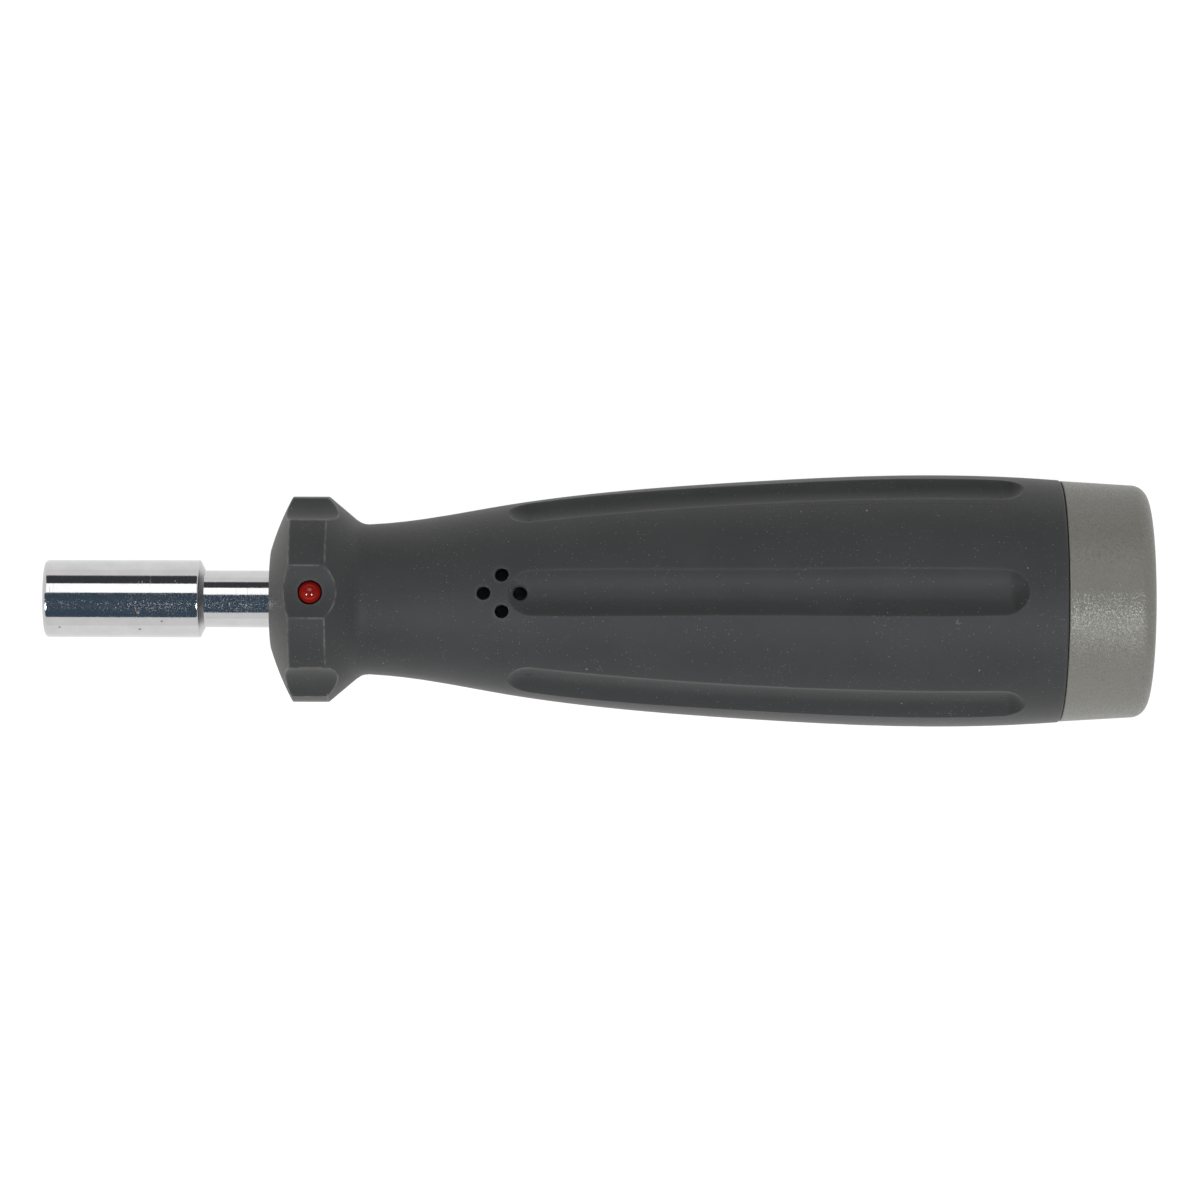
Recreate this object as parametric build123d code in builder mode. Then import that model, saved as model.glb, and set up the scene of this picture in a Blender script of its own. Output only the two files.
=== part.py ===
from build123d import *
import os

# Digital torque screwdriver, in millimetres. The tool lies along X on a level surface, with its
# bit socket at low X, its warning light facing up and its display facing down. Stations are
# distances behind the socket's mouth, radii and heights are measured from the tool's axis.

# Bit holder
holder_diameter = 10.6
holder_length = 21.8
holder_mouth_round = 0.6
holder_rear_slope = 0.7
holder_rear_round = 0.35
hex_across_flats = 6.45
hex_depth = 13.0
hex_lead_in = 0.5
magnet_diameter = 5.0
magnet_length = 3.0
holder_web = 0.8
ring_station = 7.0
ring_wire = 0.7
ring_inner_diameter = 6.2
ring_gap_angle = 40

# Output shaft
shank_diameter = 7.8
exposed_shank = 9.0
spigot_diameter = 5.5
clip_thickness = 0.8
clip_diameter = 9.6
clip_seat_depth = 0.6
clip_mouth = 5.3
torsion_across_flats = 4.4
root_across_flats = 6.4
gauge_length = 6.0
gauge_width = 3.0
gauge_thickness = 0.15

# Rubber grip: collar, neck and handle
collar_nose_radius = 6.8
collar_radius = 14.0
collar_front_run = 3.0
collar_front_bulge = 0.2
collar_band = 4.9
collar_back_run = 4.5
collar_nose_round = 0.6
collar_edge_round = 0.25
neck_radius = 10.2
neck_root_round = 2.5
waist_run = 8.5
waist_radius = 11.0
swell_run = 10.2
swell_radius = 12.76
shoulder_run = 13.7
shoulder_radius = 14.6
palm_run = 20.4
palm_radius = 16.2
belly_run = 20.5
belly_radius = 17.1
tail_run = 21.6
tail_radius = 16.5
tail_edge_round = 0.3
grip_wall = 2.3
grip_front_wall = 1.5
shank_clearance = 0.2

# Scallops in the collar and flutes in the handle
scallop_count = 6
scallop_radius = 8.0
scallop_depth = 1.2
flute_ball_radius = 4.8
flute_depth = 1.37
flute_front_setback = 22.8
flute_rear_setback = 8.6
flute_edge_round = 0.3

# Warning light
led_diameter = 3.05
led_height = 5.3
led_flange_diameter = 3.8
led_flange_thickness = 1.0
led_setback = 2.9
led_stand_out = 0.85
led_clearance = 0.15

# Sounder and its holes
sounder_diameter = 9.0
sounder_thickness = 3.0
sounder_setback = 19.2
sounder_roof = 2.35
sounder_hole_diameter = 1.9
sounder_hole_spacing = 2.45

# Core shells
core_nose_radius = 6.0
core_collar_radius = 10.5
core_collar_inset = 0.8
seal_diameter = 11.0
seal_length = 2.0
seal_web = 0.7
bush_diameter = 12.0
bush_length = 8.0
bush_clearance = 0.03
clip_room = 0.3
core_wall = 2.0
anchor_diameter = 16.0
anchor_length = 10.0
anchor_room = 0.5
anchor_slot = 1.2
seat_clearance = 0.1
fine = 0.01

# Screws that join the core shells
screw_diameter = 1.8
screw_head_diameter = 2.8
screw_head_height = 1.0
screw_head_level = 1.2
screw_reach = 3.5
screw_setback = 2.5

# Cells and their cradle
cell_diameter = 10.5
cell_length = 44.5
cell_nub_diameter = 3.8
cell_nub_length = 0.8
cell_clearance = 0.1
cell_web = 0.8
cell_overhang = 1.8
cradle_wall = 0.65
cradle_front_wall = 1.2
contact_room = 2.0
contact_thickness = 0.4
contact_width = 5.0

# Circuit board
board_width = 13.4
board_rear_reach = 1.5
board_thickness = 1.0
board_side_room = 0.4
chip_height = 1.2
chip_setback = 1.0
control_chip_size = 7.0
control_chip_room = 1.7
amplifier_chip_room = 1.5
amplifier_chip_length = 3.0
amplifier_chip_width = 5.0
switch_size = 4.2
switch_height = 1.9

# Display panel
panel_length = 44.0
panel_width = 15.0
panel_corner = 3.0
panel_setback = 10.1
panel_level = 13.5
bezel_thickness = 1.8
bezel_edge = 0.4
panel_clearance = 0.2
floor_thickness = 2.0
window_bar = 2.8
window_width = 11.6
window_corner = 1.2
window_thickness = 1.4
window_margin = 3.0
window_ledge = 0.8
module_clearance = 0.2

# Buttons
button_length = 5.6
button_width = 4.6
button_corner = 1.2
button_stand_out = 0.6
button_travel = 0.5
button_flange = 0.4
button_flange_thickness = 0.8
button_stem_diameter = 2.6
button_clearance = 0.15
button_pitch_x = 7.6
button_pitch_y = 6.6
button_margin = 3.0

# Threaded ring, seal and end cap
core_end_setback = 1.5
core_tail_wall = 1.15
skirt_length = 3.0
skirt_wall = 1.2
ring_bore_room = 0.7
spigot_wall = 1.8
thread_length = 7.5
thread_clearance = 0.35
key_width = 3.0
key_height = 1.0
cap_gap = 0.1
cap_length = 11.8
cap_front_radius = 16.4
cap_back_radius = 15.7
cap_end_round = 2.2
cap_rim_round = 0.15
cap_end_wall = 2.0
cap_boss_diameter = 8.0
cap_boss_height = 1.2
cap_chamber_room = 0.6
seal_wire = 1.1
seal_room = 0.15

# Contact carrier in the cap
slide_clearance = 0.3
bridge_thickness = 0.5
bridge_width = 6.0
bridge_margin = 1.5
carrier_screw_diameter = 2.5
carrier_screw_head_diameter = 4.8
carrier_screw_head_height = 1.2
carrier_screw_room = 0.5
carrier_screw_reach = 2.6
thrust_clearance = 0.15

# Stations of the grip and the whole tool, from the socket's mouth backwards
nose = holder_length + exposed_shank
band_start = nose + collar_front_run
band_end = band_start + collar_band
neck_root = band_end + collar_back_run
waist = neck_root + waist_run
swell = waist + swell_run
shoulder = swell + shoulder_run
palm = shoulder + palm_run
belly = palm + belly_run
handle_end = belly + tail_run
cap_start = handle_end + cap_gap
overall_length = cap_start + cap_length
front_x = -overall_length / 2

# Stations inside, from the nose backwards
core_nose = nose + grip_front_wall
seal_end = core_nose + seal_length
bush_start = seal_end + seal_web
bush_end = bush_start + bush_length
clip_end = bush_end + clip_thickness
torsion_start = clip_end + clip_room
led_station = band_start + led_setback
sounder_station = neck_root + sounder_setback
anchor_start = sounder_station + sounder_diameter / 2 + anchor_room
anchor_end = anchor_start + anchor_length
torsion_length = anchor_start - torsion_start
screw_stations = [anchor_start + screw_setback, anchor_end - screw_setback]

# Stations inside, from the handle's end forwards
core_end = handle_end - core_end_setback
skirt_start = core_end - skirt_length
thread_end = handle_end + thread_length
cell_end = handle_end + cell_overhang
cell_start = cell_end - cell_length
cradle_start = cell_start - contact_room - cradle_front_wall
cradle_end = core_end - seat_clearance
bay_start = cradle_start - seat_clearance
carrier_start = cell_end + bridge_thickness
cap_floor = overall_length - cap_end_wall
boss_face = cap_floor - cap_boss_height
carrier_end = boss_face - thrust_clearance
panel_end = handle_end - panel_setback
panel_start = panel_end - panel_length
panel_middle = (panel_start + panel_end) / 2
buttons_start = panel_end - button_margin - button_length - button_pitch_x
button_middle = (buttons_start + panel_end - button_margin) / 2
window_start = panel_start + window_margin
window_length = buttons_start - window_bar - window_start
window_middle = window_start + window_length / 2
module_start = window_start + window_ledge + module_clearance
control_chip_start = cradle_start - control_chip_room - control_chip_size
amplifier_chip_start = module_start - amplifier_chip_room - amplifier_chip_length
board_start = min(control_chip_start, amplifier_chip_start) - chip_setback
board_end = panel_end + board_rear_reach

# Radii and levels that follow from the pieces' sizes
shank_radius = shank_diameter / 2
cell_radius = cell_diameter / 2
cell_bore_radius = cell_radius + cell_clearance
barrel_radius = cell_bore_radius + cradle_wall
cell_offset = cell_bore_radius + cell_web / 2
bay_radius = cell_offset + barrel_radius + seat_clearance
board_top = -(barrel_radius + seat_clearance)
board_bottom = board_top - board_thickness
bezel_face = -panel_level
bezel_back = bezel_face + bezel_thickness
bay_floor = bezel_back + floor_thickness
skirt_radius = bay_radius + core_tail_wall
ring_radius = skirt_radius + skirt_wall
ring_bore_radius = cell_offset + cell_radius + ring_bore_room
thread_radius = ring_bore_radius + spigot_wall
carrier_radius = ring_bore_radius - slide_clearance
outside_radius = 2 * belly_radius

# The handle's swell, as station and radius
handle_points = [
    (neck_root, neck_radius),
    (waist, waist_radius),
    (swell, swell_radius),
    (shoulder, shoulder_radius),
    (palm, palm_radius),
    (belly, belly_radius),
    (handle_end, tail_radius),
]
with BuildLine() as handle_curve:
    Spline(*handle_points)


def handle_radius(station):
    """The handle's outer radius at a station, found by halving along its curve."""
    low, high = 0.0, 1.0
    for _ in range(40):
        middle = (low + high) / 2
        if (handle_curve.line @ middle).X < station:
            low = middle
        else:
            high = middle
    return (handle_curve.line @ high).Y


# The tool lies on the back of its handle, just behind the display panel
axis_height = handle_radius(panel_end + panel_clearance)
tool_origin = (front_x, 0, axis_height)
tool_axis = Axis(tool_origin, (1, 0, 0))
side = Plane(origin=tool_origin, x_dir=(1, 0, 0), z_dir=(0, -1, 0))


def section(station):
    """Plane across the tool at a station, its local y pointing up."""
    return Plane(origin=(front_x + station, 0, axis_height), x_dir=(0, 1, 0), z_dir=(1, 0, 0))


def level(height):
    """Level plane at a height above the tool's axis, its local x running backwards."""
    return Plane(origin=(front_x, 0, axis_height + height), x_dir=(1, 0, 0), z_dir=(0, 0, 1))


os.makedirs("parts", exist_ok=True)


def disc(start, end, radius, mode=Mode.ADD):
    """A round length of the tool from one station to another."""
    with BuildSketch(section(start)) as face:
        Circle(radius)
    extrude(face.sketch, amount=end - start, mode=mode)


# Bit holder: a chromed sleeve with a hexagon socket, a magnet pocket and a bore for the shank
holder_radius = holder_diameter / 2
magnet_end = hex_depth + magnet_length
spigot_start = magnet_end + holder_web
with BuildPart() as bit_holder:
    disc(0, holder_length, holder_radius)
    mouth_edge = bit_holder.edges().filter_by(GeomType.CIRCLE).sort_by(Axis.X)[0]
    fillet(mouth_edge, holder_mouth_round)
    rear_edge = bit_holder.edges().filter_by(GeomType.CIRCLE).sort_by(Axis.X)[-1]
    chamfer(rear_edge, holder_rear_slope, holder_radius - shank_radius)
    slope_edge = bit_holder.edges().filter_by(GeomType.CIRCLE).sort_by(Axis.X)[-2]
    fillet(slope_edge, holder_rear_round)
    with BuildSketch(section(0)):
        RegularPolygon(hex_across_flats / 2, 6, major_radius=False)
    extrude(amount=hex_depth, mode=Mode.SUBTRACT)
    with BuildSketch(side):
        with BuildLine():
            lead_radius = hex_across_flats / 2 + hex_lead_in
            Polyline((0, 0), (0, lead_radius), (lead_radius, 0), close=True)
        make_face()
    revolve(axis=tool_axis, mode=Mode.SUBTRACT)
    disc(hex_depth, magnet_end, magnet_diameter / 2, Mode.SUBTRACT)
    disc(spigot_start, holder_length, spigot_diameter / 2, Mode.SUBTRACT)
    ring_outer = ring_inner_diameter / 2 + ring_wire
    disc(ring_station, ring_station + ring_wire, ring_outer, Mode.SUBTRACT)
bit_holder.part.label = "bit_holder"
export_step(bit_holder.part, "parts/bit_holder.step")

# Magnet at the bottom of the socket
with BuildPart() as bit_magnet:
    disc(hex_depth, magnet_end, magnet_diameter / 2)
bit_magnet.part.label = "bit_magnet"
export_step(bit_magnet.part, "parts/bit_magnet.step")

# Open spring ring that grips the notches of a bit
with BuildPart() as bit_retaining_ring:
    with BuildSketch(side):
        with Locations((ring_station + ring_wire / 2, ring_outer - ring_wire / 2)):
            Circle(ring_wire / 2)
    revolve(axis=tool_axis, revolution_arc=360 - ring_gap_angle)
bit_retaining_ring.part.label = "bit_retaining_ring"
export_step(bit_retaining_ring.part, "parts/bit_retaining_ring.step")

# Output shaft: spigot, shank, clip groove, square torsion bar and square root
clip_seat_radius = shank_radius - clip_seat_depth
with BuildPart() as output_shaft:
    disc(spigot_start, holder_length, spigot_diameter / 2)
    disc(holder_length, bush_end, shank_radius)
    disc(bush_end, clip_end, clip_seat_radius)
    disc(clip_end, torsion_start, shank_radius)
    with BuildSketch(section(torsion_start)):
        Rectangle(torsion_across_flats, torsion_across_flats)
    extrude(amount=torsion_length)
    with BuildSketch(section(anchor_start)):
        Rectangle(root_across_flats, root_across_flats)
    extrude(amount=anchor_length)
output_shaft.part.label = "output_shaft"
export_step(output_shaft.part, "parts/output_shaft.step")

# Foil strain gauges, one on each side of the torsion bar
gauge_station = torsion_start + torsion_length / 4
with BuildPart() as strain_gauges:
    with BuildSketch(section(gauge_station)):
        with PolarLocations((torsion_across_flats + gauge_thickness) / 2, 4):
            Rectangle(gauge_thickness, gauge_width)
    extrude(amount=gauge_length)
strain_gauges.part.label = "strain_gauges"
export_step(strain_gauges.part, "parts/strain_gauges.step")

# Lip seal round the shank, behind the collar's nose
with BuildPart() as shaft_seal:
    disc(core_nose, seal_end, seal_diameter / 2)
    disc(core_nose, seal_end, shank_radius, Mode.SUBTRACT)
shaft_seal.part.label = "shaft_seal"
export_step(shaft_seal.part, "parts/shaft_seal.step")

# Plain bearing bush that steadies the shank
with BuildPart() as front_bush:
    disc(bush_start, bush_end, bush_diameter / 2)
    disc(bush_start, bush_end, shank_radius + bush_clearance, Mode.SUBTRACT)
front_bush.part.label = "front_bush"
export_step(front_bush.part, "parts/front_bush.step")

# Spring clip that holds the shaft against the back of the bush
with BuildPart() as shaft_clip:
    disc(bush_end, clip_end, clip_diameter / 2)
    disc(bush_end, clip_end, clip_seat_radius, Mode.SUBTRACT)
    with BuildSketch(section(bush_end)):
        with Locations((0, -clip_diameter / 4)):
            Rectangle(clip_mouth, clip_diameter / 2)
    extrude(amount=clip_thickness, mode=Mode.SUBTRACT)
shaft_clip.part.label = "shaft_clip"
export_step(shaft_clip.part, "parts/shaft_clip.step")

# Anchor that takes the shaft's square root, slit below so that its screws can clamp it
with BuildPart() as sensor_anchor:
    disc(anchor_start, anchor_end, anchor_diameter / 2)
    with BuildSketch(section(anchor_start)):
        Rectangle(root_across_flats, root_across_flats)
        with Locations((0, -anchor_diameter / 4)):
            Rectangle(anchor_slot, anchor_diameter / 2)
    extrude(amount=anchor_length, mode=Mode.SUBTRACT)
sensor_anchor.part.label = "sensor_anchor"
export_step(sensor_anchor.part, "parts/sensor_anchor.step")


def core_envelope(mode=Mode.ADD):
    """The core's outer form: a flange inside the collar, then the handle less the rubber."""
    inner_points = [(station, radius - grip_wall) for station, radius in handle_points[:-1]]
    inner_points.append((handle_end, ring_radius))
    with BuildSketch(side) as half_section:
        with BuildLine():
            Polyline(
                (core_nose, 0),
                (core_nose, core_nose_radius),
                (band_start + core_collar_inset, core_collar_radius),
                (band_end - core_collar_inset, core_collar_radius),
                inner_points[0],
            )
            Spline(*inner_points)
            Polyline(inner_points[-1], (handle_end, 0), (core_nose, 0))
        make_face()
    revolve(half_section.sketch, axis=tool_axis, mode=mode)


# Ball-ended cutter that runs along one flute of the handle
flute_front = neck_root + flute_front_setback
flute_rear = handle_end - flute_rear_setback
flute_lift = flute_ball_radius - flute_depth
flute_stations = [flute_front, (flute_front + flute_rear) / 2, flute_rear]
with BuildLine(side) as flute_path:
    ThreePointArc(*[(station, handle_radius(station) + flute_lift) for station in flute_stations])
with BuildPart() as flute_cutter:
    with BuildSketch(Plane(origin=flute_path.line @ 0, z_dir=flute_path.line % 0)):
        Circle(flute_ball_radius)
    sweep(path=flute_path.line)
    with Locations(flute_path.line @ 0, flute_path.line @ 1):
        Sphere(flute_ball_radius)

# Rubber grip: turned form, scallops round the collar, flutes along the handle, display pocket
flute_angle = 360 / scallop_count
led_hole_radius = led_diameter / 2 + led_clearance
with BuildPart() as rubber_grip:
    with BuildSketch(side):
        with BuildLine():
            Line((nose, 0), (nose, collar_nose_radius))
            SagittaArc((nose, collar_nose_radius), (band_start, collar_radius), collar_front_bulge)
            Polyline((band_start, collar_radius), (band_end, collar_radius), (neck_root, neck_radius))
            Spline(*handle_points)
            Polyline((handle_end, tail_radius), (handle_end, 0), (nose, 0))
        make_face()
    revolve(axis=tool_axis)
    whole_circles = rubber_grip.edges().filter_by(GeomType.CIRCLE)
    turned_rims = whole_circles.filter_by(lambda edge: edge.is_closed).sort_by(Axis.X)
    fillet(turned_rims[3], neck_root_round)
    fillet(turned_rims[0], collar_nose_round)
    fillet(turned_rims[4], tail_edge_round)
    core_envelope(Mode.SUBTRACT)
    disc(skirt_start, handle_end, ring_radius, Mode.SUBTRACT)

    # Scallops, their edges and the band's rims softened
    with BuildSketch(section(nose)):
        with PolarLocations(collar_radius - scallop_depth + scallop_radius, scallop_count, 90):
            Circle(scallop_radius)
    extrude(amount=neck_root - nose, mode=Mode.SUBTRACT)
    cylinders = rubber_grip.faces().filter_by(GeomType.CYLINDER)
    scallops = cylinders.filter_by(lambda face: abs(face.radius - scallop_radius) < fine)
    circles = rubber_grip.edges().filter_by(GeomType.CIRCLE)
    band_rims = circles.filter_by(lambda edge: abs(edge.radius - collar_radius) < fine)
    fillet(scallops.edges() + band_rims, collar_edge_round)

    # Flutes, except where the display panel lies
    for number in range(scallop_count):
        if number * flute_angle != 180:
            add(flute_cutter.part.rotate(tool_axis, number * flute_angle), mode=Mode.SUBTRACT)

    # Openings for the shank, the warning light, the sounder and the display panel
    disc(nose, core_nose, shank_radius + shank_clearance, Mode.SUBTRACT)
    with BuildSketch(level(0)):
        with Locations((led_station, 0)):
            Circle(led_hole_radius)
        with Locations((sounder_station, 0)):
            with PolarLocations(sounder_hole_spacing, 4):
                Circle(sounder_hole_diameter / 2)
    extrude(amount=outside_radius, mode=Mode.SUBTRACT)
    with BuildSketch(level(bezel_back)):
        with Locations((panel_middle, 0)):
            RectangleRounded(
                panel_length + 2 * panel_clearance,
                panel_width + 2 * panel_clearance,
                panel_corner + panel_clearance,
            )
    extrude(amount=-outside_radius, mode=Mode.SUBTRACT)

    # Flute edges softened last
    behind_waist = rubber_grip.faces().filter_by_position(
        Axis.X, front_x + waist, front_x + handle_end - tail_edge_round
    )
    ball_cuts = behind_waist.filter_by(GeomType.TORUS) + behind_waist.filter_by(GeomType.SPHERE)
    fillet(ball_cuts.edges().filter_by(GeomType.BSPLINE), flute_edge_round)
rubber_grip.part.label = "rubber_grip"
export_step(rubber_grip.part, "parts/rubber_grip.step")

# Core shells: two mouldings that meet level with the axis and carry everything inside
anchor_radius = anchor_diameter / 2
bore_radius = clip_diameter / 2 + shank_clearance
electronics_radius = handle_radius(anchor_end) - grip_wall - core_wall
sounder_top = handle_radius(sounder_station) - grip_wall - sounder_roof
led_top = collar_radius - scallop_depth + led_stand_out
led_base = led_top - led_height
led_flange_top = led_base + led_flange_thickness
screw_wall_radius = handle_radius(screw_stations[0]) - grip_wall
screw_offset = (anchor_radius + screw_wall_radius) / 2
screw_spots = [(station, y) for station in screw_stations for y in (-screw_offset, screw_offset)]
button_columns = (button_middle - button_pitch_x / 2, button_middle + button_pitch_x / 2)
button_rows = (-button_pitch_y / 2, button_pitch_y / 2)
button_spots = [(station, y) for station in button_columns for y in button_rows]
flange_length = button_length + 2 * button_flange
flange_width = button_width + 2 * button_flange
flange_corner = button_corner + button_flange


def core_block():
    """Both shells in one, hollowed for what they hold, before they are parted."""
    with BuildPart() as block:
        core_envelope()
        disc(core_end, handle_end, outside_radius, Mode.SUBTRACT)
        with BuildSketch(section(skirt_start)):
            Circle(outside_radius)
            Circle(skirt_radius, mode=Mode.SUBTRACT)
        extrude(amount=skirt_length, mode=Mode.SUBTRACT)
        disc(core_nose, seal_end, seal_diameter / 2, Mode.SUBTRACT)
        disc(seal_end, bush_start, shank_radius + shank_clearance, Mode.SUBTRACT)
        disc(bush_start, bush_end, bush_diameter / 2, Mode.SUBTRACT)
        disc(bush_end, anchor_start, bore_radius, Mode.SUBTRACT)
        disc(anchor_start, anchor_end, anchor_radius, Mode.SUBTRACT)
        disc(anchor_end, bay_start, electronics_radius, Mode.SUBTRACT)

        # Bay for the cells' cradle and, below it, the circuit board
        with BuildSketch(section(bay_start)):
            with Locations((-cell_offset, 0), (cell_offset, 0)):
                Circle(barrel_radius + seat_clearance)
            with Locations((0, bay_floor / 2)):
                Rectangle(board_width + 2 * board_side_room, -bay_floor)
        extrude(amount=core_end - bay_start, mode=Mode.SUBTRACT)

        # Warning light's hole and flange seat, sounder's pocket and holes, through the top
        with BuildSketch(level(0)):
            with Locations((led_station, 0)):
                Circle(led_hole_radius)
            with Locations((sounder_station, 0)):
                with PolarLocations(sounder_hole_spacing, 4):
                    Circle(sounder_hole_diameter / 2)
        extrude(amount=outside_radius, mode=Mode.SUBTRACT)
        with BuildSketch(level(0)):
            with Locations((led_station, 0)):
                Circle(led_flange_diameter / 2 + seat_clearance)
        extrude(amount=led_flange_top, mode=Mode.SUBTRACT)
        with BuildSketch(level(0)):
            with Locations((sounder_station, 0)):
                Circle(sounder_diameter / 2 + seat_clearance)
        extrude(amount=sounder_top, mode=Mode.SUBTRACT)

        # Flat land for the display bezel, with openings for the display and the buttons
        with BuildSketch(level(bezel_back)):
            with Locations((panel_middle, 0)):
                RectangleRounded(
                    panel_length + 2 * panel_clearance,
                    panel_width + 2 * panel_clearance,
                    panel_corner + panel_clearance,
                )
        extrude(amount=-outside_radius, mode=Mode.SUBTRACT)
        with BuildSketch(level(0)):
            with Locations((window_middle, 0)):
                Rectangle(window_length - 2 * window_ledge, window_width - 2 * window_ledge)
            with Locations(*button_spots):
                RectangleRounded(
                    flange_length + 2 * button_clearance,
                    flange_width + 2 * button_clearance,
                    flange_corner,
                )
        extrude(amount=bezel_back, mode=Mode.SUBTRACT)

        # Holes for the screws, their heads sunk into the lower shell
        with BuildSketch(level(-screw_head_level)):
            with Locations(*screw_spots):
                Circle(screw_diameter / 2)
        extrude(amount=screw_head_level + screw_reach, mode=Mode.SUBTRACT)
        with BuildSketch(level(-screw_head_level)):
            with Locations(*screw_spots):
                Circle(screw_head_diameter / 2)
        extrude(amount=-outside_radius, mode=Mode.SUBTRACT)
    return block.part


with BuildPart() as core_upper:
    add(core_block())
    split(bisect_by=level(0), keep=Keep.TOP)
core_upper.part.label = "core_upper"
export_step(core_upper.part, "parts/core_upper.step")

with BuildPart() as core_lower:
    add(core_block())
    split(bisect_by=level(0), keep=Keep.BOTTOM)
core_lower.part.label = "core_lower"
export_step(core_lower.part, "parts/core_lower.step")

# Screws that join the shells and clamp the anchor between them
with BuildPart() as core_screws:
    with BuildSketch(level(-screw_head_level)):
        with Locations(*screw_spots):
            Circle(screw_diameter / 2)
    extrude(amount=screw_head_level + screw_reach)
    with BuildSketch(level(-screw_head_level)):
        with Locations(*screw_spots):
            Circle(screw_head_diameter / 2)
    extrude(amount=-screw_head_height)
core_screws.part.label = "core_screws"
export_step(core_screws.part, "parts/core_screws.step")

# Warning light: a flanged body with a round dome
led_radius = led_diameter / 2
led_axis = Axis((front_x + led_station, 0, axis_height), (0, 0, 1))
with BuildPart() as warning_led:
    with BuildSketch(side):
        with BuildLine():
            dome_start = (led_station + led_radius, led_top - led_radius)
            Polyline(
                (led_station, led_top),
                (led_station, led_base),
                (led_station + led_flange_diameter / 2, led_base),
                (led_station + led_flange_diameter / 2, led_flange_top),
                (led_station + led_radius, led_flange_top),
                dome_start,
            )
            RadiusArc((led_station, led_top), dome_start, led_radius)
        make_face()
    revolve(axis=led_axis)
warning_led.part.label = "warning_led"
export_step(warning_led.part, "parts/warning_led.step")

# Sounder: a flat can with its sound outlet towards the holes
with BuildPart() as sounder:
    with BuildSketch(level(sounder_top)):
        with Locations((sounder_station, 0)):
            Circle(sounder_diameter / 2)
    extrude(amount=-sounder_thickness)
    with BuildSketch(level(sounder_top)):
        with Locations((sounder_station, 0)):
            Circle(sounder_hole_diameter / 2)
    extrude(amount=-sounder_thickness / 3, mode=Mode.SUBTRACT)
sounder.part.label = "sounder"
export_step(sounder.part, "parts/sounder.step")

# Circuit board below the cells, its front corners cut back to clear the round shells
board_length = board_end - board_start
with BuildPart() as circuit_board:
    with BuildSketch(level(board_bottom)):
        with Locations(((board_start + board_end) / 2, 0)):
            Rectangle(board_length, board_width)
    extrude(amount=board_thickness)
    corner_edges = circuit_board.edges().filter_by(Axis.Z).sort_by(Axis.X)[:2]
    chamfer(corner_edges, chip_setback)
circuit_board.part.label = "circuit_board"
export_step(circuit_board.part, "parts/circuit_board.step")

# Controller on the board's upper face, in front of the cradle
with BuildPart() as control_chip:
    with BuildSketch(level(board_top)):
        with Locations((control_chip_start + control_chip_size / 2, 0)):
            Rectangle(control_chip_size, control_chip_size)
    extrude(amount=chip_height)
control_chip.part.label = "control_chip"
export_step(control_chip.part, "parts/control_chip.step")

# Gauge amplifier on the board's lower face, in front of the display
with BuildPart() as amplifier_chip:
    with BuildSketch(level(board_bottom)):
        with Locations((amplifier_chip_start + amplifier_chip_length / 2, 0)):
            Rectangle(amplifier_chip_length, amplifier_chip_width)
    extrude(amount=-chip_height)
amplifier_chip.part.label = "amplifier_chip"
export_step(amplifier_chip.part, "parts/amplifier_chip.step")

# Display module, from the board down to just behind the window
module_length = window_length - 2 * window_ledge - 2 * module_clearance
module_width = window_width - 2 * window_ledge - 2 * module_clearance
with BuildPart() as display_module:
    with BuildSketch(level(board_bottom)):
        with Locations((window_middle, 0)):
            Rectangle(module_length, module_width)
    extrude(amount=bezel_back + module_clearance - board_bottom)
display_module.part.label = "display_module"
export_step(display_module.part, "parts/display_module.step")

# Clear window, seated on the core's land inside the bezel
with BuildPart() as display_window:
    with BuildSketch(level(bezel_back)):
        with Locations((window_middle, 0)):
            RectangleRounded(window_length, window_width, window_corner)
    extrude(amount=-window_thickness)
display_window.part.label = "display_window"
export_step(display_window.part, "parts/display_window.step")

# Bezel plate in the grip's pocket, framing the window and guiding the buttons
with BuildPart() as display_bezel:
    with BuildSketch(level(bezel_back)):
        with Locations((panel_middle, 0)):
            RectangleRounded(panel_length, panel_width, panel_corner)
    extrude(amount=-bezel_thickness)
    rim = display_bezel.faces().sort_by(Axis.Z)[0].outer_wire().edges()
    chamfer(rim, bezel_edge)
    with BuildSketch(level(bezel_back)):
        with Locations((window_middle, 0)):
            RectangleRounded(
                window_length + 2 * seat_clearance,
                window_width + 2 * seat_clearance,
                window_corner,
            )
        with Locations(*button_spots):
            RectangleRounded(
                button_length + 2 * button_clearance,
                button_width + 2 * button_clearance,
                button_corner + button_clearance,
            )
    extrude(amount=-bezel_thickness, mode=Mode.SUBTRACT)
display_bezel.part.label = "display_bezel"
export_step(display_bezel.part, "parts/display_bezel.step")

# Push buttons: a pad through the bezel, a flange behind it and a stem towards the switch
pad_height = bezel_thickness + button_stand_out
switch_face = board_bottom - switch_height
stem_end = switch_face - button_travel - button_clearance
stem_length = stem_end - bezel_back - button_flange_thickness
button_names = ["power_button", "mode_button", "up_button", "down_button"]
for button_name, (station, y) in zip(button_names, button_spots):
    with BuildPart() as button:
        with BuildSketch(level(bezel_back)):
            with Locations((station, y)):
                RectangleRounded(button_length, button_width, button_corner)
        extrude(amount=-pad_height)
        pad_rim = button.faces().sort_by(Axis.Z)[0].outer_wire().edges()
        fillet(pad_rim, button_clearance)
        with BuildSketch(level(bezel_back)):
            with Locations((station, y)):
                RectangleRounded(flange_length, flange_width, flange_corner)
        extrude(amount=button_flange_thickness)
        with BuildSketch(level(bezel_back + button_flange_thickness)):
            with Locations((station, y)):
                Circle(button_stem_diameter / 2)
        extrude(amount=stem_length)
    button.part.label = button_name
    export_step(button.part, f"parts/{button_name}.step")

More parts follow.
